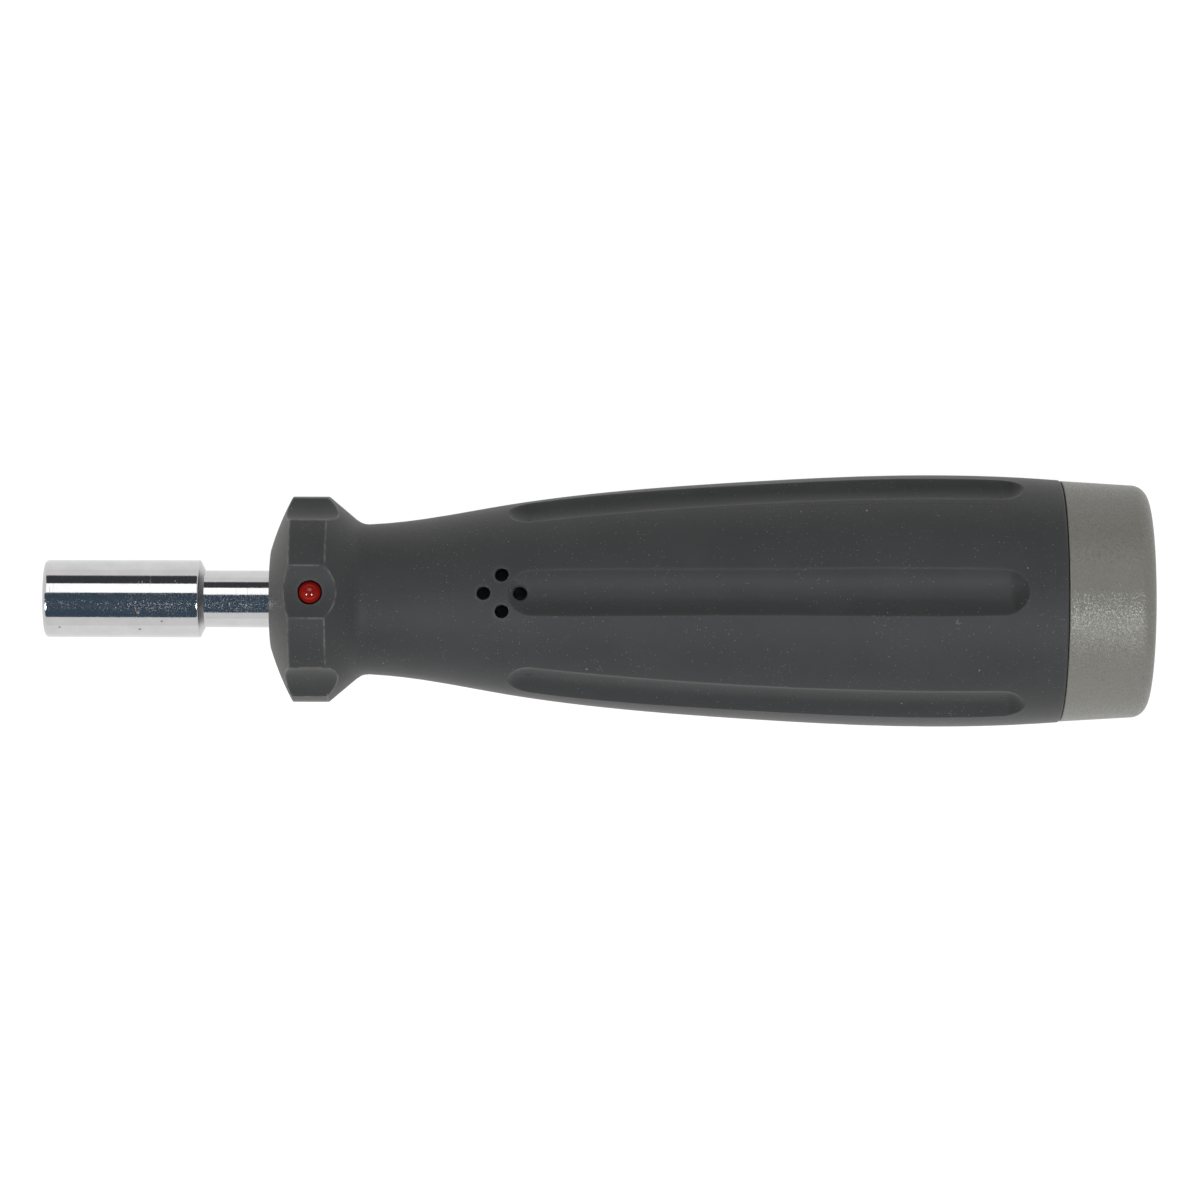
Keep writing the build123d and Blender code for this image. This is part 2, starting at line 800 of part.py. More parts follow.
# Switches on the board, one above each button
with BuildPart() as button_switches:
    with BuildSketch(level(board_bottom)):
        with Locations(*button_spots):
            Rectangle(switch_size, switch_size)
    extrude(amount=-switch_height)
button_switches.part.label = "button_switches"
export_step(button_switches.part, "parts/button_switches.step")

# Cells, side by side and facing opposite ways
cell_bodies = {
    "battery_left": (-cell_offset, cell_start, cell_end - cell_nub_length),
    "battery_right": (cell_offset, cell_start + cell_nub_length, cell_end),
}
for cell_name, (offset_y, body_start, body_end) in cell_bodies.items():
    with BuildPart() as cell:
        with BuildSketch(section(body_start)):
            with Locations((offset_y, 0)):
                Circle(cell_radius)
        extrude(amount=body_end - body_start)
        with BuildSketch(section(cell_start)):
            with Locations((offset_y, 0)):
                Circle(cell_nub_diameter / 2)
        extrude(amount=cell_length)
    cell.part.label = cell_name
    export_step(cell.part, f"parts/{cell_name}.step")

# Cradle: two barrels for the cells, closed at the front, with a flat pad over the board
with BuildPart() as battery_cradle:
    with BuildSketch(section(cradle_start)):
        with Locations((-cell_offset, 0), (cell_offset, 0)):
            Circle(barrel_radius)
        with Locations((0, -barrel_radius / 2)):
            Rectangle(2 * cell_offset, barrel_radius)
    extrude(amount=cradle_end - cradle_start)
    with BuildSketch(section(cradle_start + cradle_front_wall)):
        with Locations((-cell_offset, 0), (cell_offset, 0)):
            Circle(cell_bore_radius)
    extrude(amount=cradle_end - cradle_start, mode=Mode.SUBTRACT)
battery_cradle.part.label = "battery_cradle"
export_step(battery_cradle.part, "parts/battery_cradle.step")

# Leaf contacts, folded back on themselves between the cradle's front wall and the cells
leaf_front = cradle_start + cradle_front_wall + contact_thickness / 2
leaf_rear = cell_start - contact_thickness / 2
leaf_half = contact_width / 2
with BuildPart() as front_contacts:
    for offset_y in (-cell_offset, cell_offset):
        with BuildSketch(level(-leaf_half)):
            with BuildLine():
                FilletPolyline(
                    (leaf_front, offset_y - leaf_half),
                    (leaf_front, offset_y + leaf_half),
                    (leaf_rear - contact_thickness / 2, offset_y),
                    (leaf_rear - contact_thickness / 2, offset_y - leaf_half),
                    radius=contact_thickness,
                )
            trace(line_width=contact_thickness)
        extrude(amount=contact_width)
front_contacts.part.label = "front_contacts"
export_step(front_contacts.part, "parts/front_contacts.step")

# Threaded ring: its skirt holds the shells' ends together, its spigot takes the end cap
with BuildPart() as rear_ring:
    with BuildSketch(side):
        with BuildLine():
            Polyline(
                (skirt_start, skirt_radius),
                (skirt_start, ring_radius),
                (handle_end, ring_radius),
                (handle_end, thread_radius),
                (thread_end, thread_radius),
                (thread_end, ring_bore_radius),
                (core_end, ring_bore_radius),
                (core_end, skirt_radius),
                close=True,
            )
        make_face()
    revolve(axis=tool_axis)
    with BuildSketch(section(handle_end)):
        with PolarLocations(ring_bore_radius, 2, 90):
            Rectangle(2 * key_height, key_width)
        Circle(thread_radius, mode=Mode.INTERSECT)
    extrude(amount=thread_length)
rear_ring.part.label = "rear_ring"
export_step(rear_ring.part, "parts/rear_ring.step")

# Seal ring in the corner between the spigot and the handle's end
seal_radius = thread_radius + seal_wire / 2
with BuildPart() as cap_seal:
    with BuildSketch(side):
        with Locations((handle_end + seal_wire / 2, seal_radius)):
            Circle(seal_wire / 2)
    revolve(axis=tool_axis)
cap_seal.part.label = "cap_seal"
export_step(cap_seal.part, "parts/cap_seal.step")

# End cap: a slightly tapered cup that screws over the spigot, with a boss for the carrier
cap_bore_radius = thread_radius + thread_clearance
chamber_start = thread_end + cap_chamber_room
chamber_radius = carrier_radius + cap_chamber_room
seal_pocket_end = handle_end + seal_wire + seal_room
seal_pocket_radius = thread_radius + seal_wire + seal_room
screw_tip = boss_face + carrier_screw_reach
with BuildPart() as end_cap:
    with BuildSketch(side):
        with BuildLine():
            Polyline(
                (cap_start, 0),
                (cap_start, cap_front_radius),
                (overall_length, cap_back_radius),
                (overall_length, 0),
                close=True,
            )
        make_face()
    revolve(axis=tool_axis)
    cap_edges = end_cap.edges().filter_by(GeomType.CIRCLE).sort_by(Axis.X)
    fillet(cap_edges[0], cap_rim_round)
    fillet(cap_edges[-1], cap_end_round)
    disc(cap_start, seal_pocket_end, seal_pocket_radius, Mode.SUBTRACT)
    disc(cap_start, chamber_start, cap_bore_radius, Mode.SUBTRACT)
    disc(cap_start, cap_floor, chamber_radius, Mode.SUBTRACT)
    disc(boss_face, cap_floor, cap_boss_diameter / 2)
    disc(boss_face, screw_tip, carrier_screw_diameter / 2, Mode.SUBTRACT)
end_cap.part.label = "end_cap"
export_step(end_cap.part, "parts/end_cap.step")

# Contact carrier: a keyed disc that slides in the spigot while the cap turns behind it
head_start = carrier_start + carrier_screw_room
head_end = head_start + carrier_screw_head_height
key_floor = ring_bore_radius - key_height - slide_clearance
with BuildPart() as contact_carrier:
    disc(carrier_start, carrier_end, carrier_radius)
    with BuildSketch(section(carrier_start)):
        with PolarLocations(key_floor + ring_bore_radius / 2, 2, 90):
            Rectangle(ring_bore_radius, key_width + 2 * slide_clearance)
    extrude(amount=carrier_end - carrier_start, mode=Mode.SUBTRACT)
    hole_radius = carrier_screw_diameter / 2 + thrust_clearance
    pocket_radius = carrier_screw_head_diameter / 2 + slide_clearance
    disc(carrier_start, carrier_end, hole_radius, Mode.SUBTRACT)
    disc(carrier_start, head_end + thrust_clearance, pocket_radius, Mode.SUBTRACT)
contact_carrier.part.label = "contact_carrier"
export_step(contact_carrier.part, "parts/contact_carrier.step")

# Bridge that joins the two cells, on the carrier's face
with BuildPart() as bridge_contact:
    with BuildSketch(section(cell_end)):
        SlotOverall(2 * cell_offset + cell_nub_diameter + 2 * bridge_margin, bridge_width)
    extrude(amount=bridge_thickness)
bridge_contact.part.label = "bridge_contact"
export_step(bridge_contact.part, "parts/bridge_contact.step")

# Shoulder screw that holds the carrier on the cap's boss and lets the cap turn
with BuildPart() as carrier_screw:
    disc(head_start, head_end, carrier_screw_head_diameter / 2)
    disc(head_end, screw_tip, carrier_screw_diameter / 2)
    with BuildSketch(section(head_start)):
        Rectangle(carrier_screw_head_diameter, carrier_screw_room)
    extrude(amount=carrier_screw_head_height / 2, mode=Mode.SUBTRACT)
carrier_screw.part.label = "carrier_screw"
export_step(carrier_screw.part, "parts/carrier_screw.step")
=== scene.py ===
# %% [markdown]
# # A digital torque screwdriver, dressed in Blender
# The tool lies on a white table and is seen from almost straight above. Its pieces arrive as a
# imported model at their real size. This lesson gives each piece its finish, adds the few forms
# that are too fine for the model, and lights the whole like a small product studio.

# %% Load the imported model
import math

import bpy
from mathutils import Matrix, Vector


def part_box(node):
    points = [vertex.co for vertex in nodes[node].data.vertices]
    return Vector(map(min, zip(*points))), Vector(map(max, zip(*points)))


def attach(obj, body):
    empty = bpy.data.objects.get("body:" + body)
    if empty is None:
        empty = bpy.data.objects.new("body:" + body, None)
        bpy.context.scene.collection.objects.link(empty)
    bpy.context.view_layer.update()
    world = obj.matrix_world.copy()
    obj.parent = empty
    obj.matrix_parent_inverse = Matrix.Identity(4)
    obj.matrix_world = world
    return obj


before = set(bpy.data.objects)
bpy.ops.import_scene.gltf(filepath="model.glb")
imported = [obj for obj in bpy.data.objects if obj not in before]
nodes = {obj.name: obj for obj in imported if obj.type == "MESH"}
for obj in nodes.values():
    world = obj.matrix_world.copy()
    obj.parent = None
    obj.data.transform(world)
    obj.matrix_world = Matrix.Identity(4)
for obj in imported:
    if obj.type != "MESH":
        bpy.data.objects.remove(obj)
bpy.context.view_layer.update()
MM = 0.001
print("nodes in the frame:", len(nodes))

# %% [markdown]
# Most of the tool is turned about one axis, so its height above the table and its front end are
# worth reading from the frame once. The bit holder is round about that axis, and its box gives
# both.

# %% Find the tool's axis
holder_low, holder_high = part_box("bit_holder")
AXIS_HEIGHT = (holder_low.z + holder_high.z) / 2
FRONT_X = holder_low.x
AXIS_POINT = Vector((0, 0, AXIS_HEIGHT))
print("axis height in mm:", round(AXIS_HEIGHT / MM, 2), "front x in mm:", round(FRONT_X / MM, 2))


def station(millimetres):
    """The x of a place so many millimetres behind the socket's mouth."""
    return FRONT_X + millimetres * MM


# %% [markdown]
# The photograph was taken from nearly overhead with a long lens: the end cap's flat end still
# bulges outward by 13 pixels, which fixes the distance. A lens of 150 mm on a 36 mm sensor, 682
# mm from the axis, gives the same bulge and the same size in the frame. The tool also slopes by a
# sixth of a degree, so the camera is rolled by that much, and it lies half a millimetre off the
# middle, so the aim is off by as much.

# %% Set up the camera
LENS = 150
SENSOR = 36
CAMERA_DISTANCE = 0.682
CAMERA_ELEVATION = math.radians(85.8)
CAMERA_ROLL = math.radians(0.16)
AIM = Vector((0.00058, 0, AXIS_HEIGHT))

camera_data = bpy.data.cameras.new("camera")
camera_data.lens = LENS
camera_data.sensor_width = SENSOR
camera_data.clip_start = 0.01
camera = bpy.data.objects.new("camera", camera_data)
bpy.context.scene.collection.objects.link(camera)
toward_camera = Vector((0, -math.cos(CAMERA_ELEVATION), math.sin(CAMERA_ELEVATION)))
looking = (-toward_camera).to_track_quat("-Z", "Y").to_matrix().to_4x4()
camera.matrix_world = Matrix.Translation(AIM + CAMERA_DISTANCE * toward_camera) @ looking
camera.matrix_world = camera.matrix_world @ Matrix.Rotation(CAMERA_ROLL, 4, "Z")
bpy.context.scene.camera = camera
bpy.context.scene.view_settings.view_transform = "Standard"
print("camera stands", round(camera.location.z, 3), "m above the table")

# %% [markdown]
# Shader trees are long to write out node by node, so one helper adds a node, sets its own
# settings, and fills its sockets. A plain value is set on the socket and another node's output is
# linked to it, which keeps each material short enough to read.

# %% A helper for shader nodes
def add_node(tree, kind, inputs=None, **settings):
    """Adds a node. Settings are its own properties; inputs are values or sockets to link."""
    made = tree.nodes.new("ShaderNode" + kind)
    for name, value in settings.items():
        setattr(made, name, value)
    for name, value in (inputs or {}).items():
        if isinstance(value, bpy.types.NodeSocket):
            tree.links.new(value, made.inputs[name])
        else:
            made.inputs[name].default_value = value
    return made


print("helper ready: add_node")

# %% [markdown]
# Most masks come from a few small sums. A value is put through one operation, two colours are
# mixed by a factor, or a range is stretched and held at both ends. Each of these is one node, so
# each is a short function that gives the node's result.

# %% Sums, colours and ranges
def math_node(tree, operation, first, second=0.0, third=0.0):
    """One sum on values, and its result."""
    made = add_node(tree, "Math", {0: first, 1: second, 2: third}, operation=operation)
    return made.outputs[0]


def blend_colours(tree, factor, first, second):
    """Mixes two colours by a factor. Inputs 6 and 7 are the node's two colours."""
    made = add_node(tree, "Mix", {0: factor, 6: first, 7: second}, data_type="RGBA")
    return made.outputs[2]


def spread(tree, value, low, high, new_low=0.0, new_high=1.0):
    """Stretches a value's range from low..high to new_low..new_high, and holds it there."""
    made = add_node(
        tree,
        "MapRange",
        {"Value": value, "From Min": low, "From Max": high, "To Min": new_low, "To Max": new_high},
        clamp=True,
    )
    return made.outputs["Result"]


print("helpers ready: math_node, blend_colours, spread")

# %% [markdown]
# ## Studio
# Polished chrome is only as good as what it reflects. In the photograph the bit holder shows a
# white line between dark bands, with pale grey along both edges. Those are the white surroundings
# below, and above them black cards with a gap in between. The studio here is built the same way:
# a white room, a softbox in the gap, and dark cards that the camera can't see. Each card is given
# by the angle at which the chrome sees it, counted from straight up and positive towards +Y. The
# softbox reaches further to the right than to the left, so that the rubber and the cap get its
# light too. Dark paper is never neutral: the cards are bluish, with one brown edge.

# %% Light the room
def seen_directly(tree):
    """1 for rays that come from the camera, a mirror or glass, and 0 for soft light."""
    path = add_node(tree, "LightPath")
    either = math_node(tree, "MAXIMUM", path.outputs["Is Camera Ray"], path.outputs["Is Glossy Ray"])
    return math_node(tree, "MAXIMUM", either, path.outputs["Is Transmission Ray"])


ROOM_LIGHT = 0.48
world = bpy.data.worlds.new("studio_room")
bpy.context.scene.world = world
world.use_nodes = True
world.node_tree.nodes.clear()
room_strength = spread(world.node_tree, seen_directly(world.node_tree), 0, 1, ROOM_LIGHT, 1.0)
room = add_node(world.node_tree, "Background", {"Color": (1, 1, 1, 1), "Strength": room_strength})
add_node(world.node_tree, "OutputWorld", {"Surface": room.outputs[0]})
print("room light on the object:", ROOM_LIGHT)

# %% [markdown]
# A photographer's card is lit by the lamps, so its tone has to be found by trial. Here a card is
# a single face that glows by itself, so its own strength sets its tone in the chrome, whatever
# the lamps do.

# %% A helper for cards
def studio_card(name, corners, colour, strength):
    """A flat card of four corners that glows a little and stays out of the camera's sight."""
    mesh = bpy.data.meshes.new(name)
    mesh.from_pydata(corners, [], [(0, 1, 2, 3)])
    card = bpy.data.objects.new(name, mesh)
    bpy.context.scene.collection.objects.link(card)
    material = bpy.data.materials.new(name)
    material.use_nodes = True
    material.node_tree.nodes.clear()
    glow = add_node(material.node_tree, "Emission", {"Color": colour, "Strength": strength})
    add_node(material.node_tree, "OutputMaterial", {"Surface": glow.outputs[0]})
    mesh.materials.append(material)
    card.visible_camera = False


print("helper ready: studio_card")

# %% [markdown]
# An angle decides which line of the chrome mirrors a card's edge. For a level card above the tool
# the angle gives its reach in y, and for an upright card behind the tool its height.

# %% Stand the cards
CARD_HEIGHT = 0.93
CARD_WALL = 1.12


def ceiling_card(name, first_angle, last_angle, left, right, colour, strength):
    """A level card above the camera, between two angles as the tool sees them."""
    z = AXIS_HEIGHT + CARD_HEIGHT
    y1 = CARD_HEIGHT * math.tan(math.radians(first_angle))
    y2 = CARD_HEIGHT * math.tan(math.radians(last_angle))
    corners = [(left, y1, z), (right, y1, z), (right, y2, z), (left, y2, z)]
    studio_card(name, corners, colour, strength)


def wall_card(name, first_angle, last_angle, left, right, colour, strength):
    """An upright card behind the tool, between two angles as the tool sees them."""
    z1 = AXIS_HEIGHT + CARD_WALL / math.tan(math.radians(first_angle))
    z2 = AXIS_HEIGHT + CARD_WALL / math.tan(math.radians(last_angle))
    y = CARD_WALL
    corners = [(left, y, z1), (right, y, z1), (right, y, z2), (left, y, z2)]
    studio_card(name, corners, colour, strength)


BLUE_BLACK = (0.45, 0.70, 1.0, 1)
GREY_BLACK = (0.78, 0.87, 1.0, 1)
BROWN = (1.0, 0.60, 0.44, 1)
WHITE = (1, 1, 1, 1)
ceiling_card("dark_ceiling_card", -61, 13.4, -1.2, 1.2, BLUE_BLACK, 0.135)
ceiling_card("softbox", 13.8, 40.9, -0.235, 0.31, WHITE, 1.95)
wall_card("dark_wall_card", 41.3, 66.4, -0.5, 0.6, GREY_BLACK, 0.075)
wall_card("brown_card_edge", 66.4, 68.9, -0.5, 0.6, BROWN, 0.34)
print("cards stand", CARD_HEIGHT, "m above and", CARD_WALL, "m behind the tool")

# %% [markdown]
# The warning light's dome mirrors the whole studio, and shows two small white dots below its
# middle. So two square lamps hang on the near side, one to the left and one to the right, 27
# degrees from straight up. They also put the soft highlight on the end cap and make the lower
# half of the handle brighter. An area lamp of P watts lights a surface at distance d with
# P / (pi d squared), and a white card is at full light when it gets pi. So powers are worked out
# here from the share of full light that each lamp should give.

# %% Hang the lamps
def soft_lamp(name, place, size, share):
    """A square lamp aimed at the tool. Share is its part of full light on a card that faces it."""
    lamp_data = bpy.data.lights.new(name, "AREA")
    lamp_data.shape = "SQUARE"
    lamp_data.size = size
    away = Vector(place) - AXIS_POINT
    lamp_data.energy = share * math.pi * math.pi * away.length_squared
    lamp = bpy.data.objects.new(name, lamp_data)
    bpy.context.scene.collection.objects.link(lamp)
    lamp.location = place
    lamp.rotation_euler = away.to_track_quat("Z", "Y").to_euler()


LAMP_SIDE = 0.22
soft_lamp("left_lamp", (-0.53, -0.39, 0.77), LAMP_SIDE, 0.37)
soft_lamp("right_lamp", (0.28, -0.39, 0.77), LAMP_SIDE, 0.42)
print("two lamps,", LAMP_SIDE, "m square")

# %% [markdown]
# The table is white and its shadow faint. To the camera, to mirrors and to glass it glows with
# most of its brightness and is lit for the rest, so the shadow under the tool only dims the lit
# part. To soft light it is a plain white table that throws light back up under the tool. From
# below it is clear, so that the display side can be looked at through it.

# %% Lay the table
def mix_shaders(tree, factor, first, second):
    """The first shader where the factor is 0, and the second where it is 1."""
    return add_node(tree, "MixShader", {0: factor, 1: first.outputs[0], 2: second.outputs[0]})


TABLE_HALF = 3.0
TABLE_WHITE = (0.9, 0.9, 0.9, 1)
TABLE_DIM = (0.17, 0.17, 0.17, 1)
TABLE_GLOW = 0.955
table_mesh = bpy.data.meshes.new("table")
square = [(-1, -1), (1, -1), (1, 1), (-1, 1)]
table_corners = [(TABLE_HALF * x, TABLE_HALF * y, 0) for x, y in square]
table_mesh.from_pydata(table_corners, [], [(0, 1, 2, 3)])
table = bpy.data.objects.new("table", table_mesh)
bpy.context.scene.collection.objects.link(table)
table_material = bpy.data.materials.new("table_white")
table_material.use_nodes = True
table_tree = table_material.node_tree
table_tree.nodes.clear()
plain_white = add_node(table_tree, "BsdfDiffuse", {"Color": TABLE_WHITE})
dim_white = add_node(table_tree, "BsdfDiffuse", {"Color": TABLE_DIM})
table_glow = add_node(table_tree, "Emission", {"Color": WHITE, "Strength": TABLE_GLOW})
shadowed = add_node(table_tree, "AddShader", {0: dim_white.outputs[0], 1: table_glow.outputs[0]})
table_side = mix_shaders(table_tree, seen_directly(table_tree), plain_white, shadowed)
clear = add_node(table_tree, "BsdfTransparent")
table_back = add_node(table_tree, "NewGeometry").outputs["Backfacing"]
table_mix = mix_shaders(table_tree, table_back, table_side, clear)
add_node(table_tree, "OutputMaterial", {"Surface": table_mix.outputs[0]})
table_mesh.materials.append(table_material)
print("studio ready: room, 4 cards, 2 lamps, table")

# %% [markdown]
# ## Effects that several finishes share
# A finish is believed for its small faults: grain, dust, worn edges and scratches. Each of these
# is wanted on more than one material, so each is a node group, made once, with its own inputs.
# The groups put out masks and heights only. The shader itself stays in each material.

# %% A helper for node groups
def start_group(name, inputs, outputs):
    """A new node group with float inputs (name to default) and float outputs."""
    tree = bpy.data.node_groups.new(name, "ShaderNodeTree")
    for socket_name, default in inputs.items():
        socket = tree.interface.new_socket(socket_name, in_out="INPUT", socket_type="NodeSocketFloat")
        socket.default_value = default
    for socket_name in outputs:
        tree.interface.new_socket(socket_name, in_out="OUTPUT", socket_type="NodeSocketFloat")
    given = tree.nodes.new("NodeGroupInput")
    result = tree.nodes.new("NodeGroupOutput")
    return tree, given.outputs, result


def use_group(tree, group, inputs=None):
    """Places a group in a material, and gives its outputs."""
    placed = add_node(tree, "Group", node_tree=group)
    for name, value in (inputs or {}).items():
        placed.inputs[name].default_value = value
    return placed.outputs


print("helpers ready: start_group, use_group")

# %% [markdown]
# Where a point is and which way its surface faces are vectors. They decide where a crease, a ring
# or a steel end goes. A few short functions fetch them, reckon with them and take them apart.

# %% Places and directions
def vector_node(tree, operation, first, second=(0.0, 0.0, 0.0)):
    """One sum on vectors. A length, distance or dot product gives a value."""
    made = add_node(tree, "VectorMath", {0: first, 1: second}, operation=operation)
    gives_value = operation in ("LENGTH", "DISTANCE", "DOT_PRODUCT")
    return made.outputs["Value" if gives_value else "Vector"]


def scale_vector(tree, vector, factor):
    """A vector times a number."""
    made = add_node(tree, "VectorMath", {0: vector, "Scale": factor}, operation="SCALE")
    return made.outputs["Vector"]


def separate(tree, vector):
    """The X, Y and Z of a vector."""
    return add_node(tree, "SeparateXYZ", {"Vector": vector}).outputs


def object_place(tree):
    """The point on the object, in metres, which moves with the piece."""
    return add_node(tree, "TexCoord").outputs["Object"]


def object_facing(tree):
    """Which way the surface faces on the object, as X, Y and Z."""
    return separate(tree, add_node(tree, "TexCoord").outputs["Normal"])


print("helpers ready: vector_node, scale_vector, separate, object_place, object_facing")

# %% [markdown]
# Nearly every fault here is made of two textures, a cloudy noise and random cells. Both are laid
# out by the place on the object, so they move with the piece and keep their size in metres.

# %% Noise and random cells
def noise(tree, per_metre, detail, roughness=0.5):
    """A cloudy value between 0 and 1, with that many lumps per metre of the object."""
    inputs = {"Vector": object_place(tree), "Scale": per_metre, "Detail": detail, "Roughness": roughness}
    return add_node(tree, "TexNoise", inputs).outputs["Fac"]


def random_cells(tree, per_metre):
    """The cells of a Voronoi texture. Each has one random colour."""
    return add_node(tree, "TexVoronoi", {"Vector": object_place(tree), "Scale": per_metre}).outputs


print("helpers ready: noise, random_cells")

# %% [markdown]
# Grain is the fine tooth of a moulded or sprayed surface. A photographed texture would need the
# pieces unwrapped and would blur close up, and a noise does neither. Two of them, one three times
# finer than the other, keep it from looking like a single repeated dot.

# %% Fine grain
grain_group, given, result = start_group("fine_grain", {"Grains per mm": 3.0}, ["Height"])
grain_scale = math_node(grain_group, "MULTIPLY", given["Grains per mm"], 1 / MM)
coarse = noise(grain_group, grain_scale, 2.0)
finer = noise(grain_group, math_node(grain_group, "MULTIPLY", grain_scale, 3.1), 1.0)
both = math_node(grain_group, "MULTIPLY_ADD", finer, 0.5, coarse)
grain_group.links.new(both, result.inputs["Height"])
print("group made:", grain_group.name)

# %% [markdown]
# Dust lies on dark rubber as pale specks of many sizes, thicker in some places than in others.
# Thousands of tiny meshes could be scattered, but a texture is lighter and stays on the surface.
# Cells of a Voronoi texture each hold one speck. Its distance field makes it round, a random
# value drops most of them, and a slow noise gathers the rest into drifts.

# %% Dust specks
dust_inputs = {"Specks per mm": 1.0, "Speck size": 0.2, "Share kept": 0.2}
dust_group, given, result = start_group("dust_specks", dust_inputs, ["Mask"])
cells = random_cells(dust_group, math_node(dust_group, "MULTIPLY", given["Specks per mm"], 1 / MM))
chance = add_node(dust_group, "SeparateColor", {"Color": cells["Color"]}).outputs
drifts = spread(dust_group, noise(dust_group, 140.0, 3.0), 0.38, 0.64, 0.15, 2.1)
wanted = math_node(dust_group, "MULTIPLY", given["Share kept"], drifts)
kept = math_node(dust_group, "LESS_THAN", chance["Red"], wanted)
unequal = spread(dust_group, chance["Green"], 0, 1, 0.4, 1.3)
speck_size = math_node(dust_group, "MULTIPLY", given["Speck size"], unequal)
near = math_node(dust_group, "LESS_THAN", cells["Distance"], speck_size)
paleness = spread(dust_group, chance["Blue"], 0, 1, 0.25, 1.0)
brightness = math_node(dust_group, "MULTIPLY", near, paleness)
dust_group.links.new(math_node(dust_group, "MULTIPLY", kept, brightness), result.inputs["Mask"])
print("group made:", dust_group.name)

# %% [markdown]
# Handling polishes the edges of a piece. Wear could be painted on by hand, but it would be lost
# when a piece changes. The Bevel node gives the normal that a rounded edge would have. Where it
# differs from the true normal, there is an edge, whatever the mesh's own density. A noise breaks
# the line up, because wear is never even.

# %% Edge wear
wear_group, given, result = start_group("edge_wear", {"Width mm": 0.4, "Evenness": 0.5}, ["Mask"])
wear_radius = math_node(wear_group, "MULTIPLY", given["Width mm"], MM)
rounded = add_node(wear_group, "Bevel", {"Radius": wear_radius}, samples=6)
flat_normal = add_node(wear_group, "NewGeometry").outputs["Normal"]
agreement = vector_node(wear_group, "DOT_PRODUCT", rounded.outputs["Normal"], flat_normal)
edge = spread(wear_group, agreement, 0.995, 0.90)
broken = spread(wear_group, noise(wear_group, 900.0, 4.0), 0.4, 0.6)
evened = math_node(wear_group, "MAXIMUM", broken, given["Evenness"])
wear_group.links.new(math_node(wear_group, "MULTIPLY", edge, evened), result.inputs["Mask"])
print("group made:", wear_group.name)

# %% [markdown]
# Scratches run mostly round the tool, because it is turned in use. They are far too fine to
# model. A noise that is stretched across the axis and squeezed along it gives thin rings, and a
# second noise keeps only short lengths of them.

# %% Scratches
scratch_inputs = {"Lines per mm": 4.0, "Amount": 0.5}
scratch_group, given, result = start_group("turning_scratches", scratch_inputs, ["Mask"])
stretched = vector_node(scratch_group, "MULTIPLY", object_place(scratch_group), (1.0, 0.02, 0.02))
scratch_scale = math_node(scratch_group, "MULTIPLY", given["Lines per mm"], 1 / MM)
line_inputs = {"Vector": stretched, "Scale": scratch_scale, "Detail": 2.0}
lines = add_node(scratch_group, "TexNoise", line_inputs)
line_mask = spread(scratch_group, lines.outputs["Fac"], 0.60, 0.72)
length_mask = spread(scratch_group, noise(scratch_group, 420.0, 2.0), 0.48, 0.62)
short_lines = math_node(scratch_group, "MULTIPLY", line_mask, length_mask)
scratches = math_node(scratch_group, "MULTIPLY", short_lines, given["Amount"])
scratch_group.links.new(scratches, result.inputs["Mask"])
print("group made:", scratch_group.name)

# %% [markdown]
# Larger patches of slightly different tone come from handling, moulding and age. Without them a
# surface looks printed. This group is a slow, cloudy noise between 0 and 1.

# %% Patches
patch_group, given, result = start_group("handled_patches", {"Patch size mm": 8.0}, ["Mask"])
patch_scale = math_node(patch_group, "DIVIDE", 1 / MM, given["Patch size mm"])
clouds = noise(patch_group, patch_scale, 5.0, 0.6)
patch_group.links.new(spread(patch_group, clouds, 0.35, 0.65), result.inputs["Mask"])
print("group made:", patch_group.name)

# %% [markdown]
# Lint is short, thin and curled. Curve objects could lie on the surface, but they would have to
# follow each piece. A contour line of a slow noise is a thin curly line, too. Cutting it up with
# the random cells of a Voronoi texture leaves a few short threads of it.

# %% Lint
lint_group, given, result = start_group("lint", {"Curls per mm": 0.35, "Share kept": 0.1}, ["Mask"])
lint_scale = math_node(lint_group, "MULTIPLY", given["Curls per mm"], 1 / MM)
off_contour = math_node(lint_group, "SUBTRACT", noise(lint_group, lint_scale, 1.0), 0.5)
on_line = math_node(lint_group, "LESS_THAN", math_node(lint_group, "ABSOLUTE", off_contour), 0.007)
lint_cells = random_cells(lint_group, 700.0)
lint_chance = add_node(lint_group, "SeparateColor", {"Color": lint_cells["Color"]})
lint_kept = math_node(lint_group, "LESS_THAN", lint_chance.outputs["Red"], given["Share kept"])
lint_group.links.new(math_node(lint_group, "MULTIPLY", on_line, lint_kept), result.inputs["Mask"])
print("group made:", lint_group.name)

# %% [markdown]
# Some faults are single: a rust spot, a nick. Each is a small ball round a chosen point, and the
# surface is marked where it lies inside the ball.

# %% A helper for single marks
def mark_at(tree, station_mm, y_mm, height_mm, radius_mm):
    """1 inside a small round mark at a chosen place on a piece, and 0 outside."""
    centre = (station(station_mm), y_mm * MM, AXIS_HEIGHT + height_mm * MM)
    gap = vector_node(tree, "DISTANCE", object_place(tree), centre)
    return spread(tree, gap, radius_mm * MM, 0.6 * radius_mm * MM)


print("helper ready: mark_at")

# %% [markdown]
# Every finish starts the same way: an empty material with one Principled shader. Numbers that are
# the same all over the piece are set on the shader's own sockets.

# %% Start and place a finish
def start_finish(name, **sockets):
    """A material with one Principled shader. Underscores in socket names stand for spaces."""
    material = bpy.data.materials.new(name)
    material.use_nodes = True
    tree = material.node_tree
    shader = tree.nodes["Principled BSDF"]
    for socket, value in sockets.items():
        shader.inputs[socket.replace("_", " ")].default_value = value
    return material, tree, shader.inputs


